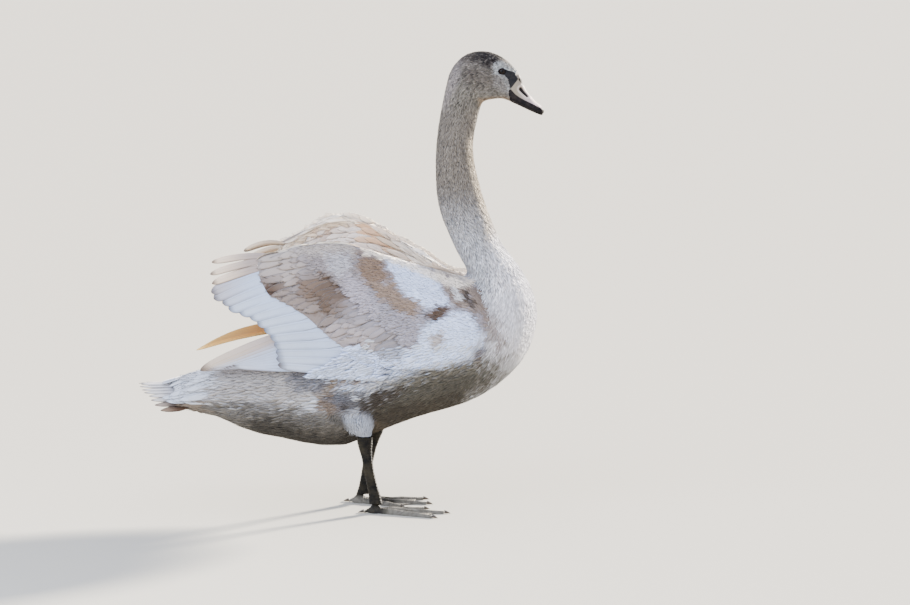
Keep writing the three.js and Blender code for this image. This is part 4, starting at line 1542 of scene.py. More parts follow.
        # edge: a dark line along each feather's lower edge, partly its brown edging and partly painted shadow
        # cast on the feather below
        edge = mixed(mixed(tone(112, 108, 116), tone(124, 130, 150), soft), tone(92, 74, 64), low)
        edge = np.where(tertial, tone(96, 76, 66), edge)
        if self.side == LEFT:
            tip, root = mixed(tip, CREAM, 0.7), mixed(root, tone(214, 202, 188), 0.6)
        return Feathers(path, normal, widths, root, tip, edge, in_a_row(share))

    def primaries(self, chance: np.random.Generator) -> Feathers:
        """The folded primaries below the secondaries.

        Args:
            chance: the source of small differences.

        Returns:
            The feathers.
        """
        if self.side == RIGHT:
            roots = ((-40, 106, 372), (-40, 108, 345), (-40, 109, 310), (-40, 110, 277))
            ends = ((-268, 62, 267), (-246, 67, 270), (-222, 72, 275), (-196, 78, 282))
            bows, widths = (3, 0), (24, 17)
            # the third colour, on each feather's lower edge, is a painted shadow line under it
            tones = (tone(190, 201, 226), tone(196, 201, 217), tone(104, 88, 80))
        else:
            roots = ((-60, 110, 340), (-60, 110, 336), (-60, 111, 332), (-60, 112, 326))
            ends = ((-244, 82, 313), (-264, 78, 304), (-282, 73, 294), (-297, 68, 285))
            bows, widths = (11, 12), (9, 9)
            # The far wing's primaries are painted orange-brown: partly their own brownish colour, partly a
            # painted glow of the light that shines through them from behind.
            tones = (tone(180, 134, 84), tone(212, 176, 116), tone(240, 216, 166))
        count = self.primary_count
        share = (np.arange(count) + 0.5) / count
        bow, width = (np.interp(share, [0, 1], pair) for pair in (bows, widths))
        path, normal = self.fan(Line(roots).at(share), Line(ends).at(share), bow, 8.0)
        root, tip, edge = (np.tile(t, (count, 1)) * (1 + chance.normal(0, 0.03, (count, 1))) for t in tones)
        if self.side == RIGHT:
            lead = smooth(0.34, 0.02, share)[:, None]
            root, tip = mixed(root, tone(186, 176, 176), lead), mixed(tip, tone(208, 196, 186), lead)
        return Feathers(path, normal, width * MM, root, tip, edge, in_a_row(share))


@dataclass(frozen=True)
class Tail:
    """The fan of tail feathers and the coverts over and under its base, in the bird's own millimetres."""

    count: int = 18
    root_x: float = -288.0
    root_half: float = 48
    root_z: float = 238
    tip_x: float = -394.0
    tip_half: float = 86
    tip_z: float = 231
    arch: float = 40
    wedge: float = 60
    lean: float = 34  # how many degrees the outermost feathers lean
    width: float = 17
    covert_tried: int = 60000
    covert_apart: float = 0.0085  # in metres
    covert_width: float = 15

    def fan(self, chance: np.random.Generator) -> tuple[np.ndarray, np.ndarray]:
        """Lays the feathers of the fan side by side over an arch, the middle pair on top.

        Args:
            chance: the source of their small differences.

        Returns:
            The paths and the normals.
        """
        count = self.count
        across = 2 * self.shares() - 1
        order = np.abs(across)
        ends = ((self.root_x, self.root_half, self.root_z), (self.tip_x, self.tip_half, self.tip_z))
        root, tip = (
            np.stack([np.full(count, x), half * across, z - self.arch * across**2], 1) for x, half, z in ends
        )
        tip[:, 0] += self.wedge * order**1.6 + chance.normal(0, 2.5, count)
        root[:, 2] -= 7 * order
        tip[:, 2] -= 3 * order + chance.normal(0, 1.2, count)
        path = np.stack([placed(p) for p in (root, (root + tip) / 2, tip)], 1)
        tilt = np.radians(across * self.lean + np.sign(across) * 7)
        normal = np.stack([np.zeros(count), np.sin(tilt), np.cos(tilt)], 1)
        return path, np.repeat(normal[:, None], 3, axis=1)

    def shares(self) -> np.ndarray:
        """How far across the fan each feather is, from 0 to 1."""
        return (np.arange(self.count) + 0.5) / self.count

    def feathers(self, chance: np.random.Generator) -> Feathers:
        """The fan itself.

        Args:
            chance: the source of small differences.

        Returns:
            The feathers.
        """
        path, normal = self.fan(chance)
        pale = 1 + chance.normal(0, 0.04, (self.count, 1))
        # The outer feathers are painted browner and darker, partly their own brown and partly painted shade
        # of the fan's underside; the roots are painted darker than the tips as shade under the coverts, and
        # the dark edges are painted shadow lines between the feathers, partly brown edging.
        outer = smooth(0.66, 0.9, np.abs(2 * self.shares() - 1))[:, None]
        root = mixed(tone(186, 188, 200) * pale, tone(112, 92, 78), outer)
        tip = mixed(tone(222, 220, 222) * pale, tone(160, 144, 132), outer)
        edge, width = np.tile(tone(80, 60, 50), (self.count, 1)), np.full(self.count, self.width * MM)
        return Feathers(path, normal, width, root, tip, edge, in_a_row(self.shares()))

    def coverts(self, hull: Surface, chance: np.random.Generator) -> Feathers:
        """Long soft feathers that grow from the end of the body and lie over and under the base of the fan.

        Args:
            hull: the outline of the plumage.
            chance: the source of their small differences.

        Returns:
            The coverts.
        """
        spots = Spots.scattered(hull, self.covert_tried, chance)
        spots = spots.part((spots.mm[:, 0] < -222) & (spots.mm[:, 0] > -312)).thinned(self.covert_apart)
        mm = spots.mm[np.argsort(spots.mm[:, 0])]
        count = len(mm)
        length = chance.uniform(52, 74, count)
        tip = mm.copy()
        limit = -326 + 22 * np.abs(mm[:, 1] / 60) ** 1.5 + chance.normal(0, 15, count)
        tip[:, 0] = np.maximum(mm[:, 0] - length, limit)
        tip[:, 1] = mm[:, 1] * np.interp(tip[:, 0], [-350, -300, -260], [1.25, 1.08, 1.0])
        fan = self.tip_z - self.arch * (tip[:, 1] / self.tip_half) ** 2
        above = mm[:, 2] > fan
        tip[:, 2] = mixed(mm[:, 2], fan + np.where(above, 5, -7), smooth(-262, -322, tip[:, 0]))
        plain = unit(np.stack([np.zeros(count), mm[:, 1] / 90, np.where(above, 1.0, -1.0)], 1))
        path, normal = [], []
        for share in (0.0, 0.5, 1.0):
            point = placed(mixed(mm, tip, share))
            found, facing = hull.nearest(point)
            on_body = (1 - smooth(-286, -312, own(point)[:, 0]))[:, None]
            path.append(mixed(point, found + facing * ((-1.2 + 1.7 * share) * MM), on_body))
            normal.append(unit(mixed(plain, facing, on_body)))
        pale = smooth(-236, -280, tip[:, 0] + 8 * cloud(tip, 12))[:, None]
        top = mixed(tone(174, 171, 174), tone(202, 207, 220), pale)
        # the coverts under the fan are darker: partly their own greyer colour, partly painted shade under the
        # tail
        base = mixed(tone(134, 129, 127), tone(140, 132, 128), pale)
        colour = np.where(above[:, None], top, base) * (1 + chance.normal(0, 0.04, (count, 1)))
        turn = np.arctan2(mm[:, 1], mm[:, 2] - fan) / (2 * math.pi) + 0.5
        patch = np.stack([(mm[:, 0] + 320) / 110, turn], 1)
        path, normal = np.stack(path, 1), np.stack(normal, 1)
        width = np.full(count, self.covert_width * MM)
        # roots a little darker than the tips: painted shade where the coverts overlap
        return Feathers(path, normal, width, colour * 0.94, colour, colour, patch)


# ---------------------------------------------------------------------------- finishes


def new_group(name: str, inputs: dict, outputs: dict) -> tuple:
    """Makes a shader node group with named sockets.

    Args:
        name: the group's name.
        inputs: each socket's default by its name, a colour or a number.
        outputs: the same for the outputs.

    Returns:
        The group's tree, its input node and its output node.
    """
    tree = bpy.data.node_groups.new(name, "ShaderNodeTree")
    for way, sockets in (("INPUT", inputs), ("OUTPUT", outputs)):
        for key, value in sockets.items():
            kind = "NodeSocketColor" if isinstance(value, tuple) else "NodeSocketFloat"
            socket = tree.interface.new_socket(key, in_out=way, socket_type=kind)
            socket.default_value = value
    return tree, tree.nodes.new("NodeGroupInput"), tree.nodes.new("NodeGroupOutput")


def feed(tree: bpy.types.NodeTree, node: bpy.types.Node, values: dict) -> None:
    """Gives inputs of a node their values: outputs of other nodes, colours or numbers.

    Args:
        tree: where the node is.
        node: the node.
        values: the value of each input by its name or number.
    """
    for key, value in values.items():
        if isinstance(value, bpy.types.NodeSocket):
            tree.links.new(value, node.inputs[key])
        else:
            node.inputs[key].default_value = value


def add(tree: bpy.types.NodeTree, kind: str, values: dict, **settings: object) -> bpy.types.Node:
    """Adds a node, sets its properties and gives its inputs their values.

    Args:
        tree: where the node goes.
        kind: its type.
        values: the value of each input by its name or number.
        settings: its properties.

    Returns:
        The node.
    """
    node = tree.nodes.new(kind)
    for key, value in settings.items():
        setattr(node, key, value)
    feed(tree, node, values)
    return node


def calculated(
    tree: bpy.types.NodeTree, operation: str, *values: object, clamp: bool = False
) -> bpy.types.NodeSocket:
    """Adds a Math node.

    Args:
        tree: where it goes.
        operation: what it does.
        values: outputs of other nodes or numbers.
        clamp: keeps the answer between 0 and 1.

    Returns:
        Its output.
    """
    node = add(tree, "ShaderNodeMath", dict(enumerate(values)), operation=operation, use_clamp=clamp)
    return node.outputs[0]


def blended(tree: bpy.types.NodeTree, kind: str, factor: object, colours: tuple) -> bpy.types.NodeSocket:
    """Adds a Mix node for two colours and returns its output."""
    values = {"Factor": factor, 6: colours[0], 7: colours[1]}
    return add(tree, "ShaderNodeMix", values, data_type="RGBA", blend_type=kind).outputs[2]


def barb_group() -> bpy.types.NodeTree:
    """The fine lines of a vane: barbs that run out from the shaft towards the tip, and its shaft.

    Returns:
        The group's tree.
    """
    inputs = {"Colour": PLAIN, "Lines": 26.0, "Contrast": 0.2, "Shaft": 0.0}
    tree, start, end = new_group("Barbs", inputs, {"Colour": PLAIN, "Height": 0.0})
    maths = partial(calculated, tree)
    vane = add(tree, "ShaderNodeAttribute", {}, attribute_name="vane")
    across, along, lane = add(tree, "ShaderNodeSeparateXYZ", {0: vane.outputs["Vector"]}).outputs
    out = maths("ABSOLUTE", across)
    slant = maths("SUBTRACT", along, maths("MULTIPLY", out, 0.22))
    run = {
        0: maths("MULTIPLY", slant, start.outputs["Lines"]),
        1: maths("MULTIPLY", across, 1.3),
        2: maths("MULTIPLY", lane, 91.7),
    }
    place = add(tree, "ShaderNodeCombineXYZ", run).outputs[0]
    noise = add(tree, "ShaderNodeTexNoise", {"Scale": 1.0, "Detail": 2.0, "Vector": place}).outputs[0]
    lines = maths("ADD", maths("MULTIPLY", maths("SUBTRACT", noise, 0.5), start.outputs["Contrast"]), 1.0)
    near = maths("SUBTRACT", 1.0, maths("DIVIDE", out, 0.07), clamp=True)
    shade = maths("SUBTRACT", lines, maths("MULTIPLY", near, start.outputs["Shaft"]))
    colour = blended(tree, "MULTIPLY", 1.0, (start.outputs["Colour"], shade))
    feed(tree, end, {"Colour": colour, "Height": maths("ADD", noise, near)})
    return tree


def uneven_group() -> bpy.types.NodeTree:
    """Uneven colour and roughness in patches and specks, read from the place on the object.

    Returns:
        The group's tree.
    """
    inputs = {"Colour": PLAIN, "Soil": (0.2, 0.16, 0.12, 1.0), "Scale": 60.0, "Amount": 0.3, "Roughness": 0.6}
    tree, start, end = new_group("Unevenness", inputs, {"Colour": PLAIN, "Roughness": 0.0})
    given = start.outputs
    place = add(tree, "ShaderNodeTexCoord", {}).outputs["Object"]
    grain = {"Detail": 5.0, "Roughness": 0.62, "Vector": place, "Scale": given["Scale"]}
    noise = add(tree, "ShaderNodeTexNoise", grain).outputs[0]
    ramp = add(tree, "ShaderNodeMapRange", {"From Min": 0.38, "From Max": 0.68, "Value": noise}).outputs[0]
    amount = calculated(tree, "MULTIPLY", ramp, given["Amount"])
    more = calculated(tree, "MULTIPLY", amount, 0.25)
    rough = calculated(tree, "ADD", given["Roughness"], more, clamp=True)
    colour = blended(tree, "MIX", amount, (given["Colour"], given["Soil"]))
    feed(tree, end, {"Colour": colour, "Roughness": rough})
    return tree


@dataclass(frozen=True)
class Finish:
    """A surface: a colour kept in an attribute, made uneven, with relief from its own nodes."""

    name: str
    roughness: float
    soil: tuple = (0.2, 0.16, 0.12)
    soil_amount: float = 0.1
    soil_scale: float = 60.0
    sheen: float = 0.0
    coat: float = 0.0
    coat_roughness: float = 0.2
    bump: float = 0.3
    bump_depth: float = 0.0004
    barb_lines: float = 0.0
    barb_contrast: float = 0.2
    shaft: float = 0.0
    cells: float = 0.0  # the number of scales in a metre, 0 where there are none
    specular: float = 0.5

    def material(self, groups: dict) -> bpy.types.Material:
        """Builds the material from the shared node groups.

        Args:
            groups: the node groups by name.

        Returns:
            The material.
        """
        made = bpy.data.materials.new(self.name)
        made.use_nodes = True
        tree = made.node_tree
        colour = add(tree, "ShaderNodeAttribute", {}, attribute_name="tint").outputs["Color"]
        if self.barb_lines:
            lines = {"Lines": self.barb_lines, "Contrast": self.barb_contrast, "Shaft": self.shaft}
            barbs = add(tree, "ShaderNodeGroup", {}, node_tree=groups["barbs"])
            feed(tree, barbs, {"Colour": colour, **lines})
            colour, height = barbs.outputs["Colour"], barbs.outputs["Height"]
        else:
            height = self.relief(tree)
        soil = {"Soil": (*self.soil, 1), "Scale": self.soil_scale, "Amount": self.soil_amount}
        uneven = add(tree, "ShaderNodeGroup", {}, node_tree=groups["uneven"])
        feed(tree, uneven, {"Colour": colour, "Roughness": self.roughness, **soil})
        relief = {"Strength": self.bump, "Distance": self.bump_depth, "Height": height}
        surface = {
            "Base Color": uneven.outputs["Colour"],
            "Roughness": uneven.outputs["Roughness"],
            "Normal": add(tree, "ShaderNodeBump", relief).outputs["Normal"],
            "Sheen Weight": self.sheen,
            "Sheen Roughness": 0.5,
            "Coat Weight": self.coat,
            "Coat Roughness": self.coat_roughness,
            "Specular IOR Level": self.specular,
        }
        feed(tree, tree.nodes["Principled BSDF"], surface)
        return made

    def relief(self, tree: bpy.types.NodeTree) -> bpy.types.NodeSocket:
        """The height of a hide: scales where it has them, with fine grain between.

        Args:
            tree: the material's tree.

        Returns:
            The output that carries the height.
        """
        place = add(tree, "ShaderNodeTexCoord", {}).outputs["Object"]
        grain = add(tree, "ShaderNodeTexNoise", {"Scale": 900.0, "Detail": 3.0, "Vector": place}).outputs[0]
        height = calculated(tree, "MULTIPLY", grain, 0.35)
        if not self.cells:
            return height
        edges = {"Scale": self.cells, "Vector": place}
        cells = add(tree, "ShaderNodeTexVoronoi", edges, feature="DISTANCE_TO_EDGE").outputs[0]
        scales = calculated(tree, "MULTIPLY", cells, 3.0, clamp=True)
        return calculated(tree, "ADD", height, scales)


FINISHES = {
    "down": Finish(
        "Down",
        0.92,
        soil_amount=0.05,
        soil_scale=90,
        sheen=0.06,
        bump=0.25,
        barb_lines=14,
        barb_contrast=0.25,
        specular=0.14,
    ),
    "covert": Finish(
        "Covert vanes",
        0.85,
        soil_amount=0.06,
        soil_scale=70,
        sheen=0.12,
        bump=0.25,
        barb_lines=34,
        barb_contrast=0.16,
        shaft=0.05,
        specular=0.25,
    ),
    "quill": Finish(
        "Flight vanes",
        0.68,
        soil_amount=0.08,
        soil_scale=40,
        sheen=0.08,
        barb_lines=120,
        barb_contrast=0.14,
        shaft=0.2,
        specular=0.35,
    ),
    "skin": Finish("Skin", 0.8, soil_amount=0.06, soil_scale=200, bump=0.4, cells=900, specular=0.2),
    "bill": Finish(
        "Horn of the bill",
        0.55,
        soil=(0.12, 0.09, 0.07),
        soil_amount=0.12,
        soil_scale=160,
        bump=0.25,
        specular=0.08,
    ),
    "eye": Finish("Eye", 0.12, soil_amount=0.0, coat=0.06, coat_roughness=0.02, bump=0.0, specular=0.08),
    "leg": Finish(
        "Leg hide",
        0.6,
        soil=(0.08, 0.066, 0.04),
        soil_amount=0.3,
        soil_scale=55,
        bump=0.9,
        bump_depth=0.0007,
        cells=330,
        specular=0.1,
    ),
    "claw": Finish("Claw horn", 0.4, soil=(0.1, 0.08, 0.06), soil_amount=0.3, soil_scale=300),
}


def make_materials() -> dict:
    """Builds every material once."""
    groups = {"barbs": barb_group(), "uneven": uneven_group()}
    return {key: finish.material(groups) for key, finish in FINISHES.items()}


def dress(item: bpy.types.Object, material: bpy.types.Material, nodes: tuple = ()) -> None:
    """Gives a piece its material and the body it rides on, and hides the nodes it stands for.

    Args:
        item: the piece.
        material: its material.
        nodes: the names of the nodes it stands for.
    """
    item.data.materials.clear()
    item.data.materials.append(material)
    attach(item, "root")
    if nodes:
        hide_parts(*nodes)
    log.info("%s: %d triangles", item.name, sum(len(face.vertices) - 2 for face in item.data.polygons))


# ---------------------------------------------------------------------------- skin and coat


@dataclass(frozen=True)
class Skin:
    """The one skin over the bird's flesh, made from the outline that the plumage reaches."""

    voxel: float = 0.0042
    flesh: tuple = (
        "trunk",
        "neck_lower",
        "neck_upper",
        "head",
        "thigh_right",
        "thigh_left",
        "wing_right_arm",
        "wing_left_arm",
    )

    def hull(self, frame: dict) -> bpy.types.Object:
        """The outline of the plumage, without seams, with the root of the bill.

        Args:
            frame: the loaded frame.

        Returns:
            The skin, still on the outline of the plumage.
        """
        root = self.bill_root(frame)
        nodes = [frame["nodes"][name] for name in self.flesh]
        item = fused_copy("skin", [*nodes, root], self.voxel, 0.0005, 6)
        bpy.data.objects.remove(root)
        self.soften_folds(item)
        return item

    def bill_root(self, frame: dict) -> bpy.types.Object:
        """A copy of the first part of the bill, closed by a flat cut, for the skin to run onto.

        Args:
            frame: the loaded frame.

        Returns:
            The new object.
        """
        item = joined_copy("bill_root", [frame["nodes"][name] for name in ("bill_upper", "bill_lower")])
        middle, ahead = head_turned(np.array([[340.0, 0, 811], [340.976, 0, 810.782]]))
        bpy.ops.object.mode_set(mode="EDIT")
        bpy.ops.mesh.select_all(action="SELECT")
        bpy.ops.mesh.remove_doubles(threshold=WELD)
        bpy.ops.mesh.select_all(action="SELECT")
        bpy.ops.mesh.bisect(plane_co=placed(middle), plane_no=ahead - middle, use_fill=True, clear_outer=True)
        bpy.ops.object.mode_set(mode="OBJECT")
        return item

    def soften_folds(self, item: bpy.types.Object) -> None:
        """Fills the folds where the wings meet the flanks and the breast, which loose feathers cover.

        Args:
            item: the skin.
        """
        x, out, z = own(places_of(item)).T
        out = np.abs(out)
        hem = smooth(236, 262, z) * (1 - smooth(322, 348, z)) * smooth(-40, 10, x) * smooth(84, 100, out)
        front = smooth(222, 255, x) * smooth(250, 280, z) * (1 - smooth(425, 450, z)) * smooth(66, 85, out)
        share = np.maximum(hem, front) * (1 - smooth(302, 325, x))
        group = item.vertex_groups.new(name="folds")
        for index in np.flatnonzero(share > 0.02).tolist():
            group.add([index], float(share[index]), "REPLACE")
        even = item.modifiers.new("Soften", "SMOOTH")
        even.vertex_group = "folds"
        even.factor = 0.5
        even.iterations = 36
        apply_modifiers(item)
        item.vertex_groups.clear()

    def refine_head(self, item: bpy.types.Object) -> None:
        """Gives the face smaller faces, and the rims of the lids and of the bare skin smaller ones still.

        Args:
            item: the skin.
        """
        face_x, face_z, least_z = 322, 834, 770
        for reach in (46, 24):
            alone(item)
            bpy.ops.object.mode_set(mode="EDIT")
            bpy.ops.mesh.select_all(action="DESELECT")
            bpy.ops.object.mode_set(mode="OBJECT")
            x, _, z = head_turned(own(places_of(item)), back=True).T
            chosen = (np.hypot(x - face_x, z - face_z) < reach) & (z > least_z)
            item.data.vertices.foreach_set("select", chosen)
            bpy.ops.object.mode_set(mode="EDIT")
            bpy.ops.mesh.select_mode(type="VERT")
            bpy.ops.mesh.subdivide(number_cuts=1, smoothness=0.6)
            bpy.ops.object.mode_set(mode="OBJECT")

    def coat_depth(self, points: np.ndarray) -> np.ndarray:
        """How deep the plumage is, in millimetres, and how far the skin dives under the bill.

        Args:
            points: places in the bird's own millimetres.

        Returns:
            A depth for each place.
        """
        x, y, z = points.T
        deep = 4.4 - 1.7 * smooth(430, 560, z) - 0.9 * smooth(740, 800, z)
        deep = np.where((z > 270) & (np.abs(y) > 100), np.minimum(deep, 3.0), deep)
        deep = deep * (0.35 + 0.65 * smooth(0, 40, np.abs(x - 330) + np.abs(z - 800) * 0.5))
        covered = smooth(-0.4, 1.6, on_bill(head_turned(points, back=True)))
        return mixed(mixed(deep, 0.5, bareness(points)), 2.6, covered)

    def settle(self, item: bpy.types.Object, zones: Callable) -> None:
        """Moves the skin in by the coat's depth, raises the lids and colours it.

        Args:
            item: the skin, still on the outline of the plumage.
            zones: gives the markings at places in the bird's own millimetres.
        """
        mm = own(places_of(item))
        swell(item, -self.coat_depth(mm))
        x, y, z = head_turned(mm, back=True).T
        gap = np.hypot((x - Eye.x_mm) / 1.15, z - Eye.z_mm)
        face = smooth(780, 800, z) * smooth(8, 12, np.abs(y))
        ring = np.exp(-(((gap - 6.2) / 1.3) ** 2)) * face
        dent = np.exp(-((gap / 3.9) ** 2)) * face
        swell(item, ring * 1.2 - dent * 3.4)
        write_colours(item, mixed(zones(mm) * 0.92, srgb(17, 18, 22), bareness(mm)[:, None]))


@dataclass(frozen=True)
class Band:
    """A part of the small plumage: the feathers between two lengths, in millimetres."""

    name: str
    shape: VaneShape
    low: float
    high: float
    tried: int  # how many places are tried
    apart: float  # how far apart they grow, as a share of their length
    wide: float  # their width as a share of their length


BANDS = (
    Band("head", TUFT, low=0, high=8, tried=420000, apart=0.29, wide=0.5),
    Band("neck", TUFT, low=8, high=14, tried=260000, apart=0.28, wide=0.48),
    Band("body", LOCK, low=14, high=99, tried=330000, apart=0.145, wide=0.21),
)


class Coat:
    """All the small plumage: on the head and neck, on the body, and on both faces of the wings."""

    limit = 190000  # the most triangles that one piece may have
    # How many places are tried on the flanks, on the wings' fronts and on their inner faces.
    fluff_tried, covert_tried, lining_tried = 60000, 190000, 120000
    # How many metres apart the feathers of the first two grow.
    fluff_apart, covert_apart = 0.0036, 0.0034

    def __init__(self, frame: dict, hull: Surface, chance: np.random.Generator) -> None:
        """Args: the frame, the outline of the plumage and the source of chance."""
        self.hull = hull
        self.chance = chance
        self.wings = (Wing(RIGHT), Wing(LEFT))
        self.arms = {w.side: Surface(frame["nodes"][f"wing_{w.word}_arm"]) for w in self.wings}
        self.trunk = Surface(frame["nodes"]["trunk"])
        self.count = 0

    def zones(self, spots: Spots) -> np.ndarray:
        """On which part of the bird each of the spots is, as a number of Zone.

        Args:
            spots: places on the outline.

        Returns:
            A number for each place.
        """
        mm = spots.mm
        zone = np.full(len(mm), Zone.BODY.value)
        near = (mm[:, 2] > 270) & (mm[:, 2] < 560) & (mm[:, 0] < 300) & (mm[:, 0] > -175)
        for wing in self.wings:
            numbers = np.flatnonzero(near & (mm[:, 1] * wing.side > 0))
            mine = spots.part(numbers)
            on_arm = self.arms[wing.side].distance(mine.places) < self.trunk.distance(mine.places) + 0.001
            outward = mine.normals[:, 1] * wing.side > -0.1
            face = np.where(outward, Zone.WING_OUTER.value, Zone.WING_INNER.value)
            zone[numbers] = np.where(on_arm, face, Zone.BODY.value)
        return zone

    def colours(self, mm: np.ndarray, zone: np.ndarray) -> np.ndarray:
        """The markings at places in the bird's own millimetres, whichever part each is on.

        Args:
            mm: places in the bird's own millimetres.
            zone: the number of the part that each place is on.

        Returns:
            One linear colour for each place.
        """
        result = MARKINGS.colours(mm, Zone.BODY, self.chance)
        for wing in self.wings:
            for part in (Zone.WING_OUTER, Zone.WING_INNER):
                mine = (zone == part.value) & (mm[:, 1] * wing.side > 0)
                if mine.any():
                    result[mine] = MARKINGS.colours(wing.unposed(mm[mine]), part, self.chance)
        return result

    def skin_colours(self, mm: np.ndarray) -> np.ndarray:
        """The markings for the vertices of the skin."""
        places = placed(mm)
        return self.colours(mm, self.zones(Spots(places, self.hull.nearest(places)[1])))

    def body_colours(self, mm: np.ndarray) -> np.ndarray:
        """The markings of the feathers that grow on the body."""
        return self.colours(mm, np.full(len(mm), Zone.BODY.value))

    def unwrap(self, mm: np.ndarray) -> np.ndarray:
        """Where places on the body lie on its unwrap: along the spine, and round it.

        Args:
            mm: places in the bird's own millimetres.

        Returns:
            Two shares for each place.
        """
        share = SPINE.nearest(side_view(mm))
        centre, ahead = SPINE.at(share), SPINE.direction(share)
        rise = (mm[:, 0] - centre[:, 0]) * -ahead[:, 1] + (mm[:, 2] - centre[:, 1]) * ahead[:, 0]
        turn = np.arctan2(mm[:, 1], rise)
        return np.stack([share, turn / (2 * math.pi) + 0.5], 1)

    def lay(self, spots: Spots, flow: np.ndarray, length_mm: np.ndarray, heights: tuple) -> tuple:
        """Lays feathers' centre lines along the outline of the bird.

        Args:
            spots: where the feathers' middles are.
            flow: which way they run.
            length_mm: how long each is.
            heights: how high the root, the middle and the tip lie over the outline, in millimetres.

        Returns:
            The paths and the normals.
        """
        normals = spots.normals
        flow = unit(flow - normals * (flow * normals).sum(1, keepdims=True))
        path, facing = [], []
        for step, height in zip((-0.5, 0.0, 0.5), heights):
            at, face = spots.places, normals
            if step:
                at, face = self.hull.nearest(at + flow * (length_mm * MM * step)[:, None])
            path.append(at + face * (height * MM)[:, None])
            facing.append(face)
        return np.stack(path, 1), np.stack(facing, 1)

    def small_plumage(self, band: Band) -> Feathers:
        """The feathers of one band of the small plumage.

        Args:
            band: which of them.

        Returns:
            The feathers.
        """
        chance = self.chance
        spots = Spots.scattered(self.hull, band.tried, chance)
        local = head_turned(spots.mm, back=True)
        length = LIE.body_length(spots.mm)
        keep = (length >= band.low) & (length < band.high) & (bareness(spots.mm) < 0.4)
        spots = spots.part(keep & (on_bill(local) < -0.8 - 3.6 * (local[:, 2] > 834)))
        spots = spots.thinned(LIE.body_length(spots.mm) * band.apart * MM)
        spots = spots.part(self.zones(spots) == Zone.BODY.value)
        mm = spots.mm
        count = len(mm)
        waves = np.stack([np.zeros(count), 0.12 * cloud(mm, 17), 0.24 * cloud(mm + 50, 13)], 1)
        flow = unit(LIE.along_body(mm) + waves + chance.normal(0, 0.07, (count, 3)))
        length = LIE.body_length(mm) * chance.uniform(0.88, 1.12, count)
        loft = length / 20
        jitter = chance.normal(0, 0.15, count) * loft
        deep = Skin().coat_depth(mm)
        heights = (-np.minimum(0.45 * deep, 1.7), -0.15 * deep + jitter, 0.15 + 0.35 * loft + 1.4 * jitter)
        path, facing = self.lay(spots, flow, length, heights)
        tips = self.body_colours(mm)
        streak = (1 - smooth(0.1, 0.26, tips.mean(1))) * (1 - smooth(300, 360, mm[:, 2]))
        tips = tips * np.clip(1 + (0.06 + 0.11 * streak) * chance.normal(0, 1, count), 0.5, 1.6)[:, None]
        # the roots painted darker than the tips: painted shade where the feathers overlap, deeper in the
        # belly's streaks
        roots = tips * (chance.uniform(0.76, 0.98, count) - 0.08 * streak)[:, None]
        width = length * band.wide * MM * chance.uniform(0.9, 1.1, count)
        return Feathers(path, facing, width, roots, tips, tips, self.unwrap(mm))

    def flank_fluff(self) -> Feathers:
        """Loose white feathers that hang over the lower edge of each wing.

        Returns:
            The feathers.
        """
        chance = self.chance
        spots = Spots.scattered(self.hull, self.fluff_tried, chance)
        x, out, z = spots.mm.T
        out = np.abs(out)
        edge = 6 * cloud(spots.mm, 9)
        hem = (z > 236 + 0.12 * x + edge) & (z < 322 + 0.05 * x + edge) & (out > 92)
        hem &= (x > -12 + edge) & (x < 276 + edge)
        rear = (z > 244) & (z < 280 + 0.58 * (x + 36) + 0.5 * edge) & (out > 80)
        rear &= (x > -46 + edge) & (x < 80)
        spots = spots.part(hem | rear).thinned(self.fluff_apart)
        mm = spots.mm
        count = len(mm)
        flow = np.array([-1, 0, -0.32]) + chance.normal(0, 0.14, (count, 3)) + 0.2 * cloud(mm, 14)[:, None]
        length = chance.uniform(18, 30, count)
        jitter = chance.normal(0, 0.35, count)
        heights = (np.full(count, -1.2), 0.4 + jitter, 1.0 + 1.6 * jitter)
        path, facing = self.lay(spots, unit(flow), length, heights)
        x, y, z = np.moveaxis(own(path), -1, 0)
        clear = np.interp(x, [-110, 60, 96, 110], [118, 131.5, 128, 0]) * smooth(254, 268, z)
        over = np.maximum(clear - np.abs(y), 0)
        path[..., 1] += np.sign(y) * over * MM
        tips = mixed(self.body_colours(mm), WHITE, smooth(0, 4, over.max(1))[:, None])
        # the roots painted darker than the tips: painted shade where the feathers overlap
        roots = tips * chance.uniform(0.86, 1.0, (count, 1))
        return Feathers(path, facing, length * 0.24 * MM, roots, tips, tips, self.unwrap(mm))

    def soft_coverts(self, wing: Wing) -> Feathers:
        """The loose small feathers over the front of one wing and over its white shoulder.

        Args:
            wing: which wing.

        Returns:
            The feathers.
        """
        chance = self.chance
        spots = Spots.scattered(self.hull, self.covert_tried, chance)
        mm = wing.unposed(spots.mm)
        near = (spots.places[:, 1] * wing.side > 0) & (mm[:, 2] > 285) & (mm[:, 2] < 540)
        spots, mm = spots.part(near), mm[near]
        rear = Line(side_view(np.array(wing.rear)))
        plane = side_view(mm)
        gap = np.linalg.norm(plane - rear.at(rear.nearest(plane)), axis=1)
        spots = spots.part(gap > 92 + 11 * cloud(mm, 8))
        spots = spots.part(self.zones(spots) == Zone.WING_OUTER.value).thinned(self.covert_apart)
        mm = wing.unposed(spots.mm)
        count = len(mm)
        x, z = LIE.on_wing(mm, chance.normal(0, 5, count) + 9 * cloud(mm, 15)).T
        length = chance.uniform(16, 24, count)
        jitter = chance.normal(0, 0.07, count)
        flow = np.stack([x, np.zeros(count), z], 1)
        heights = (np.full(count, -0.8), jitter, 0.26 + 1.2 * jitter)
        path, facing = self.lay(spots, flow, length, heights)
        tips = MARKINGS.colours(mm, Zone.WING_OUTER, chance)
        dull = 1 - smooth(0.5, 0.62, tips[:, 1])
        tips = tips * (1 - dull * np.where(chance.random(count) < 0.06, 0.24, 0.08 * cloud(mm, 4)))[:, None]
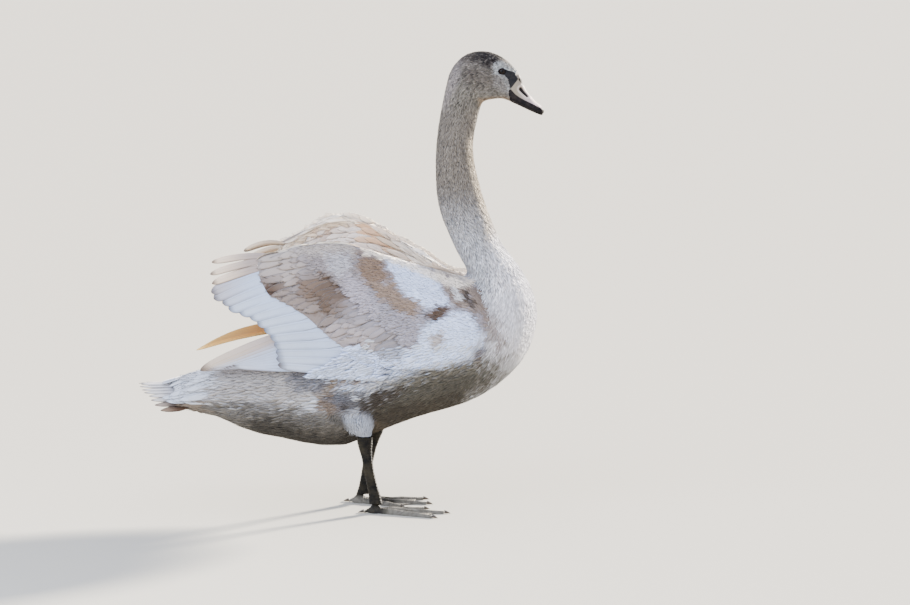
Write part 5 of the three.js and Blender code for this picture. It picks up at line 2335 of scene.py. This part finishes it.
        # the roots painted darker than the tips: painted shade where the feathers overlap
        roots = tips * chance.uniform(0.92, 1.0, (count, 1))
        patch = np.stack([(mm[:, 0] + 200) / 500, (mm[:, 2] - 270) / 280], 1)
        return Feathers(path, facing, length * 0.36 * MM, roots, tips, tips, patch)

    def linings(self, wing: Wing) -> Feathers:
        """The feathers of the inner face of one wing.

        Args:
            wing: which wing.

        Returns:
            The feathers.
        """
        spots = Spots.scattered(self.hull, self.lining_tried, self.chance)
        spots = spots.part((spots.places[:, 1] * wing.side > 0) & (spots.mm[:, 2] > 300))
        inner = spots.part(self.zones(spots) == Zone.WING_INNER.value)
        return wing.lining(self.hull, inner.places, self.chance)

    def pieces(self, name: str, shape: VaneShape, feathers: Feathers, material: bpy.types.Material) -> None:
        """Splits feathers into pieces that aren't too large and builds each one.

        Args:
            name: the part of the coat.
            shape: the form of its feathers.
            feathers: all its feathers.
            material: what they are made of.
        """
        most = self.limit // len(shape.triangles())
        parts = math.ceil(len(feathers) / most)
        order = np.argsort(feathers.patch[:, 0], kind="stable")
        for number, chosen in enumerate(np.array_split(order, parts)):
            lot = feathers.part(chosen)
            low, high = lot.patch.min(0), lot.patch.max(0)
            lot.patch = 0.01 + 0.98 * (lot.patch - low) / np.maximum(high - low, 1e-9)
            label = f"coat_{name}" if parts == 1 else f"coat_{name}_{number + 1}"
            item = shape.build(label, lot, self.chance)
            dress(item, material)
            self.count += len(lot)

    def build(self, materials: dict) -> None:
        """Builds the whole coat.

        Args:
            materials: the materials by name.
        """
        down, covert = materials["down"], materials["covert"]
        for band in BANDS:
            self.pieces(band.name, band.shape, self.small_plumage(band), down)
        self.pieces("flank", LOCK, self.flank_fluff(), down)
        for wing in self.wings:
            shape = replace(COVERT, edge_side=wing.side)
            self.pieces(f"wing_{wing.word}", shape, wing.coverts(self.hull, self.chance), covert)
            self.pieces(f"shoulder_{wing.word}", LOCK, self.soft_coverts(wing), down)
            self.pieces(f"lining_{wing.word}", COVERT, self.linings(wing), covert)
        crest = Feathers.joined([Wing(LEFT).fringe(self.chance), Wing(LEFT).crest(self.chance)])
        self.pieces("ridge", COVERT, crest, covert)
        self.pieces("tail", COVERT, Tail().coverts(self.hull, self.chance), covert)
        log.info("the coat has %d feathers", self.count)


def build_quills(chance: np.random.Generator, materials: dict) -> None:
    """Builds the flight feathers of both wings and the tail.

    Args:
        chance: the source of small differences.
        materials: the materials by name.
    """
    lots = [("tail", BLADE, Tail().feathers(chance))]
    for wing in (Wing(RIGHT), Wing(LEFT)):
        shape = replace(QUILL, edge_side=wing.side)
        lots.append((f"wing_{wing.word}_secondaries", shape, wing.secondaries(chance)))
        lots.append((f"wing_{wing.word}_primaries", shape, wing.primaries(chance)))
    for node, shape, lot in lots:
        item = shape.build("quills_" + node.removeprefix("wing_"), lot, chance, (1 / len(lot), 0.98))
        dress(item, materials["quill"], (node,))


# ---------------------------------------------------------------------------- bill, eyes and legs


@dataclass(frozen=True)
class Bill:
    """The bill, pale above with black edges, a black lower half, a slot of a nostril each side and a nail."""

    voxel: float = 0.0009
    # The upper edge of the black band along the mouth, x and z.
    band: tuple = (
        (318, 818), (329.6, 810.5), (338, 801.5), (345.2, 796.5), (356, 790.5), (366.6, 785.5),
        (380, 778.5), (393, 770),
    )
    nostril: tuple = ((348.2, 10.6, 811.2), (358.6, 7.6, 799.8))
    nostril_half: float = 4.2
    knob: tuple = ((345.6, 829.6), (351.4, 819.6))

    def build(self, frame: dict, materials: dict, chance: np.random.Generator) -> None:
        """Builds both halves and puts their relief and colours on.

        Args:
            frame: the loaded frame.
            materials: the materials by name.
            chance: the source of small differences.
        """
        for name, slot in (("bill_upper", "bill"), ("bill_lower", "mandible")):
            item = fused_copy(f"horn_{name}", [frame["nodes"][name]], self.voxel, 0.0002, 5)
            local = head_turned(own(places_of(item)), back=True)
            if name == "bill_upper":
                swell(item, self.relief(local) + self.sunk(local))
                colours = self.upper_colours(local)
            else:
                swell(item, self.sunk(local))
                colours = np.tile(INK, (len(local), 1))
            write_colours(item, colours * (1 + chance.normal(0, 0.03, (len(local), 1))))
            dress(item, materials["bill"], (name,))

    def slot_gap(self, local: np.ndarray) -> np.ndarray:
        """How far each point is from the middle line of the nostril on its side."""
        return segment_gap(outward(local), *self.nostril)

    def relief(self, local: np.ndarray) -> np.ndarray:
        """How far the horn stands in or out, in millimetres.

        Args:
            local: places as the head has them when it looks straight ahead.

        Returns:
            A height for each place.
        """
        x, out, z = outward(local).T
        gap = self.slot_gap(local)
        dent = -2.6 * (1 - smooth(self.nostril_half * 0.6, self.nostril_half * 1.25, gap))
        rim = 0.55 * np.exp(-(((gap - self.nostril_half * 2.0) / 1.5) ** 2))
        lip = 0.5 * np.exp(-(((z - self.band_at(x) + 1.0) / 2.2) ** 2)) * smooth(328, 336, x)
        nail = 0.5 * smooth(374, 379, x) * (1 - smooth(6.5, 8.5, out))
        knob = 1.1 * np.exp(-(((x - 345) / 5) ** 2 + ((z - 829) / 7) ** 2)) * (1 - smooth(4, 9, out))
        return (dent + rim + lip + nail + knob) * smooth(-2, 2, on_bill(local))

    @staticmethod
    def sunk(local: np.ndarray) -> np.ndarray:
        """How far the horn lies below its solid where the skin of the face covers it, in millimetres."""
        return -4.5 * (1 - smooth(-3.0, 0.4, on_bill(local)))

    def band_at(self, x: np.ndarray) -> np.ndarray:
        """The height of the upper edge of the black band."""
        return np.interp(x, *zip(*self.band))

    def upper_colours(self, local: np.ndarray) -> np.ndarray:
        """Pale grey-pink horn, black along the mouth, at the nostril, on the knob and before the eye.

        Args:
            local: places as the head has them when it looks straight ahead.

        Returns:
            One linear colour for each place.
        """
        x, out, z = outward(local).T
        half, gap, plane = self.nostril_half, self.slot_gap(local), side_view(local)
        colour = mixed(tone(158, 152, 144), tone(208, 196, 204), smooth(338, 384, x)[:, None])
        top = (1 - smooth(2, 8, out)) * smooth(340, 352, x) * 0.4
        colour = mixed(colour, tone(218, 208, 206), top[:, None])
        rim = 0.5 * np.exp(-(((gap - half * 1.6) / 1.3) ** 2))
        colour = mixed(colour, tone(226, 220, 220), rim[:, None])
        black = np.max(
            [
                1 - smooth(-0.6, 0.9, z - self.band_at(x)),
                1 - smooth(half * 0.75, half * 1.15, gap),
                smooth(-0.6, 0.6, polygon_depth(plane, LORES_MM)) * smooth(5, 8, out),
                (1 - smooth(3.1, 4.1, segment_gap(plane, *self.knob))) * (1 - smooth(7.5, 10, out)),
                smooth(383, 386, x) * 0.9,
            ],
            axis=0,
        )
        colour = mixed(colour, INK, black[:, None])
        behind = (1 - smooth(-1.6, 0.0, on_bill(local))) * smooth(836, 841, z)
        return mixed(colour, tone(176, 179, 184), behind[:, None])


@dataclass(frozen=True)
class Eye:
    """An eyeball with a dark brown iris, set behind the lids."""

    side: int
    x_mm = 312.4
    out_mm = 16.4
    z_mm = 844.4
    radius_mm: float = 6.6

    def build(self, materials: dict) -> None:
        """Builds one eye.

        Args:
            materials: the materials by name.
        """
        word = side_word(self.side)
        centre = placed(head_turned(np.array([[self.x_mm, self.side * self.out_mm, self.z_mm]])))[0]
        size = self.radius_mm * MM
        bpy.ops.mesh.primitive_uv_sphere_add(segments=48, ring_count=32, radius=size, location=(0, 0, 0))
        item = bpy.context.view_layer.objects.active
        item.name = item.data.name = f"eyeball_{word}"
        points = places_of(item)
        way = np.array([[0.12, self.side, 0.06]])
        looks = unit(head_turned(way + [HEAD_AXIS_MM, 0, 0]) - [HEAD_AXIS_MM, 0, 0])[0]
        ahead = points @ looks / size
        points *= (1 + 0.06 * smooth(0.55, 1.0, ahead))[:, None]
        item.data.polygons.foreach_set("use_smooth", np.ones(len(item.data.polygons), bool))
        gap = np.degrees(np.arccos(np.clip(ahead, -1, 1)))
        colour = mixed(srgb(24, 16, 13), srgb(5, 4, 5), 1 - smooth(21, 25, gap)[:, None])
        write_colours(item, mixed(colour, srgb(10, 8, 8), smooth(42, 50, gap)[:, None]))
        points -= looks * (0.22 * np.maximum(points @ looks, 0))[:, None]
        move_to(item, points + centre)
        dress(item, materials["eye"], (f"eye_{word}",))


@dataclass(frozen=True)
class Leg:
    """One scaly leg with its webbed foot and its claws."""

    side: int
    voxel: float = 0.0012

    def build(self, frame: dict, materials: dict, chance: np.random.Generator) -> None:
        """Builds the shank, the foot and the claws.

        Args:
            frame: the loaded frame.
            materials: the materials by name.
            chance: the source of small differences.
        """
        word = side_word(self.side)
        names = (f"shank_{word}", f"foot_{word}")
        item = fused_copy(f"leg_{word}", [frame["nodes"][n] for n in names], self.voxel, 0.0003, 4)
        mm = own(places_of(item))
        swell(item, self.scutes(mm))
        write_colours(item, self.colours(mm) * (1 + chance.normal(0, 0.06, (len(mm), 1))))
        dress(item, materials["leg"], names)
        claws = tuple(f"claw_{word}_{toe}" for toe in ("inner", "middle", "outer", "hind"))
        item = fused_copy(f"claws_{word}", [frame["nodes"][n] for n in claws], 0.0006, -0.0005, 2)
        write_colours(item, np.tile(tone(92, 84, 78), (len(item.data.vertices), 1)))
        dress(item, materials["claw"], claws)

    def scutes(self, mm: np.ndarray) -> np.ndarray:
        """Shallow rings across the toes and the front of the shank, in millimetres.

        Args:
            mm: places in the bird's own millimetres.

        Returns:
            A height for each place.
        """
        z = mm[:, 2]
        low = 1 - smooth(14, 24, z)
        toes = np.sin(self.from_heel(mm) * 1.5) * smooth(3.2, 5.5, z)
        return 0.32 * mixed(np.sin(z * 1.15), toes, low)

    def colours(self, mm: np.ndarray) -> np.ndarray:
        """Black round the heel, grey-brown down the shank and a paler, dusty grey on the webs.

        Args:
            mm: places in the bird's own millimetres.

        Returns:
            One linear colour for each place.
        """
        from_heel = self.from_heel(mm)
        web = (1 - smooth(8, 18, mm[:, 2])) * (0.1 + 0.9 * smooth(18, 40, from_heel))
        colour = mixed(tone(28, 26, 14), tone(24, 24, 25), smooth(88, 112, mm[:, 2])[:, None])
        colour = mixed(colour, tone(140, 138, 135), web[:, None])
        return colour * (1 + 0.25 * cloud(mm, 5)[:, None])

    @staticmethod
    def from_heel(mm: np.ndarray) -> np.ndarray:
        """How far each place is from the back of the foot, seen from above."""
        heel_x, heel_out = 70, 58
        return np.hypot(mm[:, 0] - heel_x, np.abs(mm[:, 1]) - heel_out)


# ---------------------------------------------------------------------------- studio


@dataclass(frozen=True)
class Studio:
    """The camera, the pale floor and soft light."""

    azimuth: float = 8.0
    elevation: float = 8.0
    distance: float = 16.0
    aim: tuple = (0.2197, 0.0, 0.3985)
    lit: tuple = (0.05, 0.0, 0.4)  # where the lights point
    sky_colour: tuple = (0.92, 0.955, 1.15)
    sky_strength: float = 1.79
    sun_colour: tuple = (1.0, 0.92, 0.8)
    sun_energy: float = 35.0
    sun_degrees: float = 8.0  # how wide the sun looks
    sun_way: tuple = (0.54, 0.77, 0.28)
    disk_colour: tuple = (0.8, 0.94, 1.14)
    disk_energy: float = 118.0
    disk_size: float = 3.0
    disk_way: tuple = (-0.45, -0.8, 0.5)
    floor_radius: float = 45.0

    def camera(self) -> None:
        """Makes the camera."""
        turn, rise = math.radians(self.azimuth), math.radians(self.elevation)
        back = (math.sin(turn) * math.cos(rise), -math.cos(turn) * math.cos(rise), math.sin(rise))
        data = bpy.data.cameras.new("camera")
        data.lens = LENS_MM
        data.sensor_width = 36
        data.clip_start, data.clip_end = 0.1, 200
        bpy.context.scene.camera = self.hang(data, self.aim, back, self.distance)

    def floor(self) -> None:
        """Makes the floor."""
        size = self.floor_radius
        bpy.ops.mesh.primitive_circle_add(vertices=128, radius=size, fill_type="NGON", location=(0, 0, 0))
        item = bpy.context.view_layer.objects.active
        item.name = "floor"
        made = bpy.data.materials.new("Floor")
        made.use_nodes = True
        shader = made.node_tree.nodes["Principled BSDF"]
        shader.inputs["Base Color"].default_value = (*srgb(177, 173, 162), 1)
        shader.inputs["Roughness"].default_value = 0.9
        shader.inputs["Specular IOR Level"].default_value = 0.1
        item.data.materials.append(made)

    def lights(self) -> None:
        """Makes a soft sky, a strong warm sun behind the bird's head and a soft cool disk before its tail."""
        world = bpy.data.worlds.new("world")
        bpy.context.scene.world = world
        world.use_nodes = True
        sky = world.node_tree.nodes["Background"]
        sky.inputs[0].default_value = (*self.sky_colour, 1)
        sky.inputs[1].default_value = self.sky_strength
        sun = bpy.data.lights.new("key", "SUN")
        sun.energy = self.sun_energy
        sun.angle = math.radians(self.sun_degrees)
        sun.color = self.sun_colour
        self.hang(sun, self.lit, self.sun_way, 5.0)
        disk = bpy.data.lights.new("fill", "AREA")
        disk.shape = "DISK"
        disk.size = self.disk_size
        disk.energy = self.disk_energy
        disk.color = self.disk_colour
        self.hang(disk, self.lit, self.disk_way, 3.2)

    @staticmethod
    def hang(data: bpy.types.ID, aim: tuple, direction: tuple, distance: float) -> bpy.types.Object:
        """Puts a camera or a light where it looks at a place.

        Args:
            data: the camera or the light.
            aim: the place.
            direction: the way from the place to it.
            distance: how far it is from the place.

        Returns:
            The new object.
        """
        item = bpy.data.objects.new(data.name, data)
        way = Vector(direction).normalized()
        item.location = Vector(aim) + way * distance
        item.rotation_mode = "QUATERNION"
        item.rotation_quaternion = (-way).to_track_quat("-Z", "Y")
        bpy.context.scene.collection.objects.link(item)
        return item


# ---------------------------------------------------------------------------- the bird


def main(frame: dict) -> None:
    """Builds the bird round the frame, piece by piece.

    Args:
        frame: the loaded frame.
    """
    chance = np.random.default_rng(20)
    studio = Studio()
    studio.camera()
    studio.floor()
    studio.lights()
    materials = make_materials()
    skin = Skin()
    item = skin.hull(frame)
    skin.refine_head(item)
    hull = Surface(item)
    coat = Coat(frame, hull, chance)
    skin.settle(item, coat.skin_colours)
    dress(item, materials["skin"], skin.flesh)
    coat.build(materials)
    build_quills(chance, materials)
    Bill().build(frame, materials, chance)
    for side in (RIGHT, LEFT):
        Eye(side).build(materials)
        Leg(side).build(frame, materials, chance)


if __name__ == "__main__":
    logging.basicConfig(level=logging.INFO, format="%(message)s")
    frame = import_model()
    main(frame)
